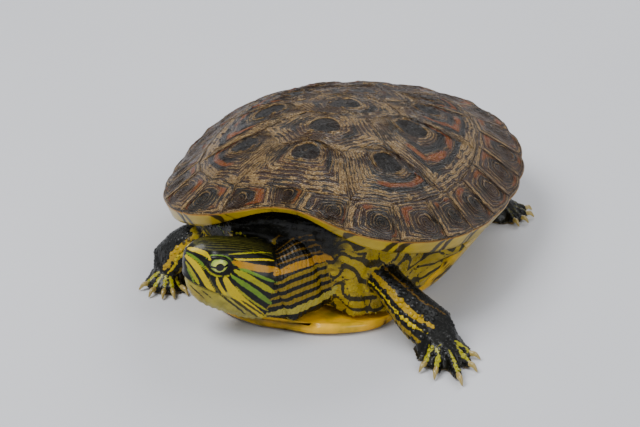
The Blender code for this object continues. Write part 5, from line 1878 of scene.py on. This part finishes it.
    def build_part(self, name: str, chosen: tuple[Region, ...], finish: bpy.types.Material,
                   skin: tuple) -> None:
        """All the scales of some regions as one joined mesh.

        Args:
            name: Name of the piece.
            chosen: Regions it covers.
            finish: Its material.
            skin: The skin's points, normals and regions.
        """
        points, normals, regions = skin
        mask = np.isin(regions, [r.code for r in chosen])
        points, normals, regions = points[mask], normals[mask], regions[mask]
        sizes = self.sizes(points, normals, regions)
        on = sizes > 0
        points, normals, regions, sizes = points[on], normals[on], regions[on], sizes[on]
        kept = self.spread(points, sizes)
        points, normals, regions, sizes = points[kept], normals[kept], regions[kept], sizes[kept]
        way = self.lie(points, normals, regions)
        across = np.cross(normals, way)
        a = math.radians(self.tilt)
        ahead, out = way * math.cos(a) + normals * math.sin(a), normals * math.cos(a) - way * math.sin(a)
        shape, faces = self.template()
        radius = sizes * self.cover
        flat = np.where(sizes > self.small, 1.0, 1.25)
        made = (points[:, None] - normals[:, None] * self.sink
                + ahead[:, None] * shape[None, :, 0:1] * radius[:, None, None] * self.stretch[0]
                + across[:, None] * shape[None, :, 1:2] * radius[:, None, None] * self.stretch[1]
                + out[:, None] * shape[None, :, 2:3] * (radius * flat)[:, None, None])
        count, corners = len(points), len(shape)
        cloud = made.reshape(-1, 3)
        cloud[:, 2] = np.maximum(cloud[:, 2], self.floor)
        index = (faces[None] + corners * np.arange(count)[:, None, None]).reshape(-1, 3)
        mesh = bpy.data.meshes.new(name)
        mesh.vertices.add(len(cloud))
        mesh.loops.add(index.size)
        mesh.polygons.add(len(index))
        mesh.loops.foreach_set("vertex_index", index.ravel().astype(np.int32))
        mesh.polygons.foreach_set("loop_start", np.arange(0, index.size, 3, dtype=np.int32))
        mesh.update(calc_edges=True)
        put_coords(mesh, cloud)
        root = self.atlas(points, normals, regions)
        spot = root[:, None] + shape[None, :, :2] * self.patch * 0.5
        layer = mesh.uv_layers.new(name="OFBake")
        layer.data.foreach_set("uv", spot.reshape(-1, 2)[index.ravel()].astype(np.float32).ravel())
        exact = np.repeat(points, corners, axis=0)
        fine = np.repeat(sizes < self.small, corners)
        exact[fine] = cloud[fine]
        self.markings.store(mesh, self.markings.paint(exact, np.repeat(normals, corners, axis=0),
                                                      np.repeat(regions, corners)))
        mesh.validate()
        place(name, mesh, finish, [])

    def build(self, finish: bpy.types.Material, skin: tuple) -> None:
        """Builds the pieces of the coat.

        Args:
            finish: Its material.
            skin: The skin's points, normals and regions.
        """
        legs = (*self.body.limbs, *self.body.feet)
        self.build_part("scales_forelegs", tuple(r for r in legs if r.front), finish, skin)
        self.build_part("scales_hindlegs", tuple(r for r in legs if not r.front), finish, skin)
        self.build_part("scales_neck", (Region.NECK,), finish, skin)
        self.build_part("scales_body", (Region.TRUNK,), finish, skin)


@dataclass
class Eyes:
    """Both eyeballs, with the cornea's bulge, in the sockets that the skin leaves."""

    head: HeadForm
    iris: float = 3.9
    bulge: float = 0.35
    bar_half: float = 0.40

    def build(self, finish: bpy.types.Material) -> None:
        """Adds the two eyes.

        Args:
            finish: Its material.
        """
        for name, side in (("left_eye", 1.0), ("right_eye", -1.0)):
            way = Vector(self.head.axes[1] * side)
            centre = self.head.eye(side)
            bm = bmesh.new()
            bmesh.ops.create_uvsphere(bm, u_segments=72, v_segments=56, radius=self.head.eye_radius * MM)
            turn = Vector((0, 0, 1)).rotation_difference(way).to_matrix()
            for v in bm.verts:
                away = math.acos(max(-1.0, min(1.0, v.co.normalized().z))) * self.head.eye_radius
                v.co *= 1 + self.bulge / self.head.eye_radius * math.exp(-((away / (0.8 * self.iris)) ** 4))
                v.co = turn @ v.co + Vector(centre * MM)
            mesh = mesh_from(bm, name)
            own = coords_of(mesh) - centre
            cosine = np.clip(own @ np.array(way) / np.linalg.norm(own, axis=1), -1, 1)
            out = np.arccos(cosine) * self.head.eye_radius
            add_floats(mesh, "from_pupil_mm", out)
            add_floats(mesh, "bar_mm", self.bar_half + 0.05 * out - np.abs(own[:, 2]))
            place(f"{name}ball", mesh, finish, [name])


@dataclass
class Claws:
    """Curved claws, the ones of each foot joined, set into the ends of the toes."""

    body: Body
    length: float = 3.5
    rear_length: float = 3.0
    radius: float = 1.5
    tip: float = 0.16
    into: float = 2.2
    root_height: float = 2.55
    drop: float = 1.95
    arch: float = 0.35
    sides: int = 14
    steps: int = 12

    def build(self, finish: bpy.types.Material) -> None:
        """Adds the claws of all four feet.

        Args:
            finish: Its material.
        """
        names = {Region.LEFT_HAND: "left_forefoot", Region.RIGHT_HAND: "right_forefoot",
                 Region.LEFT_FOOT: "left_hindfoot", Region.RIGHT_FOOT: "right_hindfoot"}
        for region, foot in self.body.feet.items():
            bm = bmesh.new()
            for heading, reach in zip(foot.headings, foot.reaches):
                ahead, across = on_floor(heading)
                claw = bmesh.new()
                back = claw.verts.layers.float.new("back")
                bmesh.ops.create_cone(claw, cap_ends=True, segments=self.sides, radius1=1.0, radius2=1.0,
                                      depth=1.0)
                edges = [e for e in claw.edges if abs(e.verts[0].co.z - e.verts[1].co.z) > 0.5]
                bmesh.ops.subdivide_edges(claw, edges=edges, cuts=self.steps - 1)
                for v in claw.verts:
                    length = self.length if region.front else self.rear_length
                    run = -self.into + (length + self.into) * (v.co.z + 0.5)
                    k = max(0.0, run / length)
                    size = self.tip + (self.radius - self.tip) * (1 - k) ** 0.62 * (1.0 if run > 0 else 0.92)
                    arch = self.arch * math.sin(math.pi * min(1.0, k * 1.3))
                    z = self.root_height - self.drop * k**1.7 + arch
                    up = unit(ahead * 0.75 * k + np.array([0.0, 0.0, 1.0]))
                    side, high = v.co.x * size * 0.80, v.co.y * size * (1.0 if v.co.y > 0 else 0.72)
                    v[back] = float(v.co.y)
                    spot = np.array([*foot.palm, 0.0]) + ahead * (reach + run) + across * side + up * high
                    spot[2] = max(0.1, spot[2] + z)
                    v.co = Vector(spot) * MM
                one = mesh_from(claw, "claw")
                bm.from_mesh(one)
                bpy.data.meshes.remove(one)
            nodes = [f"{names[region]}_claw_{k + 1}" for k in range(len(foot.headings))]
            place(f"{names[region]}_claws", bm, finish, nodes)


@dataclass
class Studio:
    """Pale floor, soft light and the camera of the model's picture."""

    camera_mm: Point = (175.53, -621.01, 350.97)
    turn: float = 15.783
    elevation: float = 26.444
    view_angle: float = 0.42
    shift: Point = (-0.03492, -0.05036)
    floor_half: float = 3.0
    key: tuple[Point, Point, float, float] = ((-0.55, -0.35, 1.05), (0.0, 0.0, 0.03), 0.75, 17.0)
    fill: tuple[Point, Point, float, float] = ((0.85, -0.55, 0.75), (0.0, 0.0, 0.03), 0.9, 7.0)
    back: tuple[Point, Point, float, float] = ((0.10, 0.95, 0.85), (0.0, 0.0, 0.04), 0.7, 9.0)
    sky: str = "#E9ECEF"
    sky_strength: float = 0.62

    def lamp(self, name: str, where: Point, to: Point, size: float, watts: float) -> None:
        """One soft area light.

        Args:
            name: Name of the lamp.
            where: Its place, in metres.
            to: What it faces.
            size: Width.
            watts: Power.
        """
        light = bpy.data.lights.new(name, "AREA")
        light.shape, light.size, light.energy = "DISK", size, watts
        made = bpy.data.objects.new(name, light)
        made.location = where
        made.rotation_euler = (Vector(to) - Vector(where)).to_track_quat("-Z", "Y").to_euler()
        bpy.context.scene.collection.objects.link(made)

    def build(self, finish: bpy.types.Material) -> None:
        """Adds the floor, the lights, the sky and the camera.

        Args:
            finish: The floor's material.
        """
        scene = bpy.context.scene
        bm = bmesh.new()
        bmesh.ops.create_grid(bm, x_segments=1, y_segments=1, size=self.floor_half)
        mesh = mesh_from(bm, "floor")
        mesh.materials.append(finish)
        floor = bpy.data.objects.new("floor", mesh)
        scene.collection.objects.link(floor)
        for name, (where, to, size, watts) in (("key", self.key), ("fill", self.fill), ("back", self.back)):
            self.lamp(f"{name}_light", where, to, size, watts)
        world = bpy.data.worlds.new("soft_sky")
        world.use_nodes = True
        sky = world.node_tree.nodes["Background"]
        sky.inputs["Color"].default_value = (*linear(self.sky), 1.0)
        sky.inputs["Strength"].default_value = self.sky_strength
        scene.world = world
        lens = bpy.data.cameras.new("camera")
        lens.sensor_width = 36.0
        lens.lens = 18.0 / math.tan(self.view_angle / 2)
        lens.shift_x, lens.shift_y = self.shift
        lens.clip_start, lens.clip_end = 0.01, 20.0
        camera = bpy.data.objects.new("camera", lens)
        camera.location = Vector(self.camera_mm) * MM
        camera.rotation_euler = (math.radians(90 - self.elevation), 0.0, math.radians(self.turn))
        scene.collection.objects.link(camera)
        scene.camera = camera


def main() -> None:
    """Builds the model, then the studio."""
    logging.basicConfig(level=logging.INFO)
    shell = ShellPlan()
    scute, rim = ScuteKeratin().make(), RimKeratin().make()
    carapace = Carapace(shell)
    carapace.build_inner(scute)
    carapace.build_marginals(scute)
    carapace.build_lip(rim)
    Plastron(shell).build(rim)
    body, hide = Body(), MoistSkin().make()
    markings = Markings(body)
    skin = Skin(body).build(hide, markings)
    ScaleCoat(body, markings).build(hide, skin)
    Eyes(body.head).build(WetEye().make())
    Claws(body).build(ClawHorn().make())
    Studio().build(StudioPaper().make())


if __name__ == "__main__":
    main()
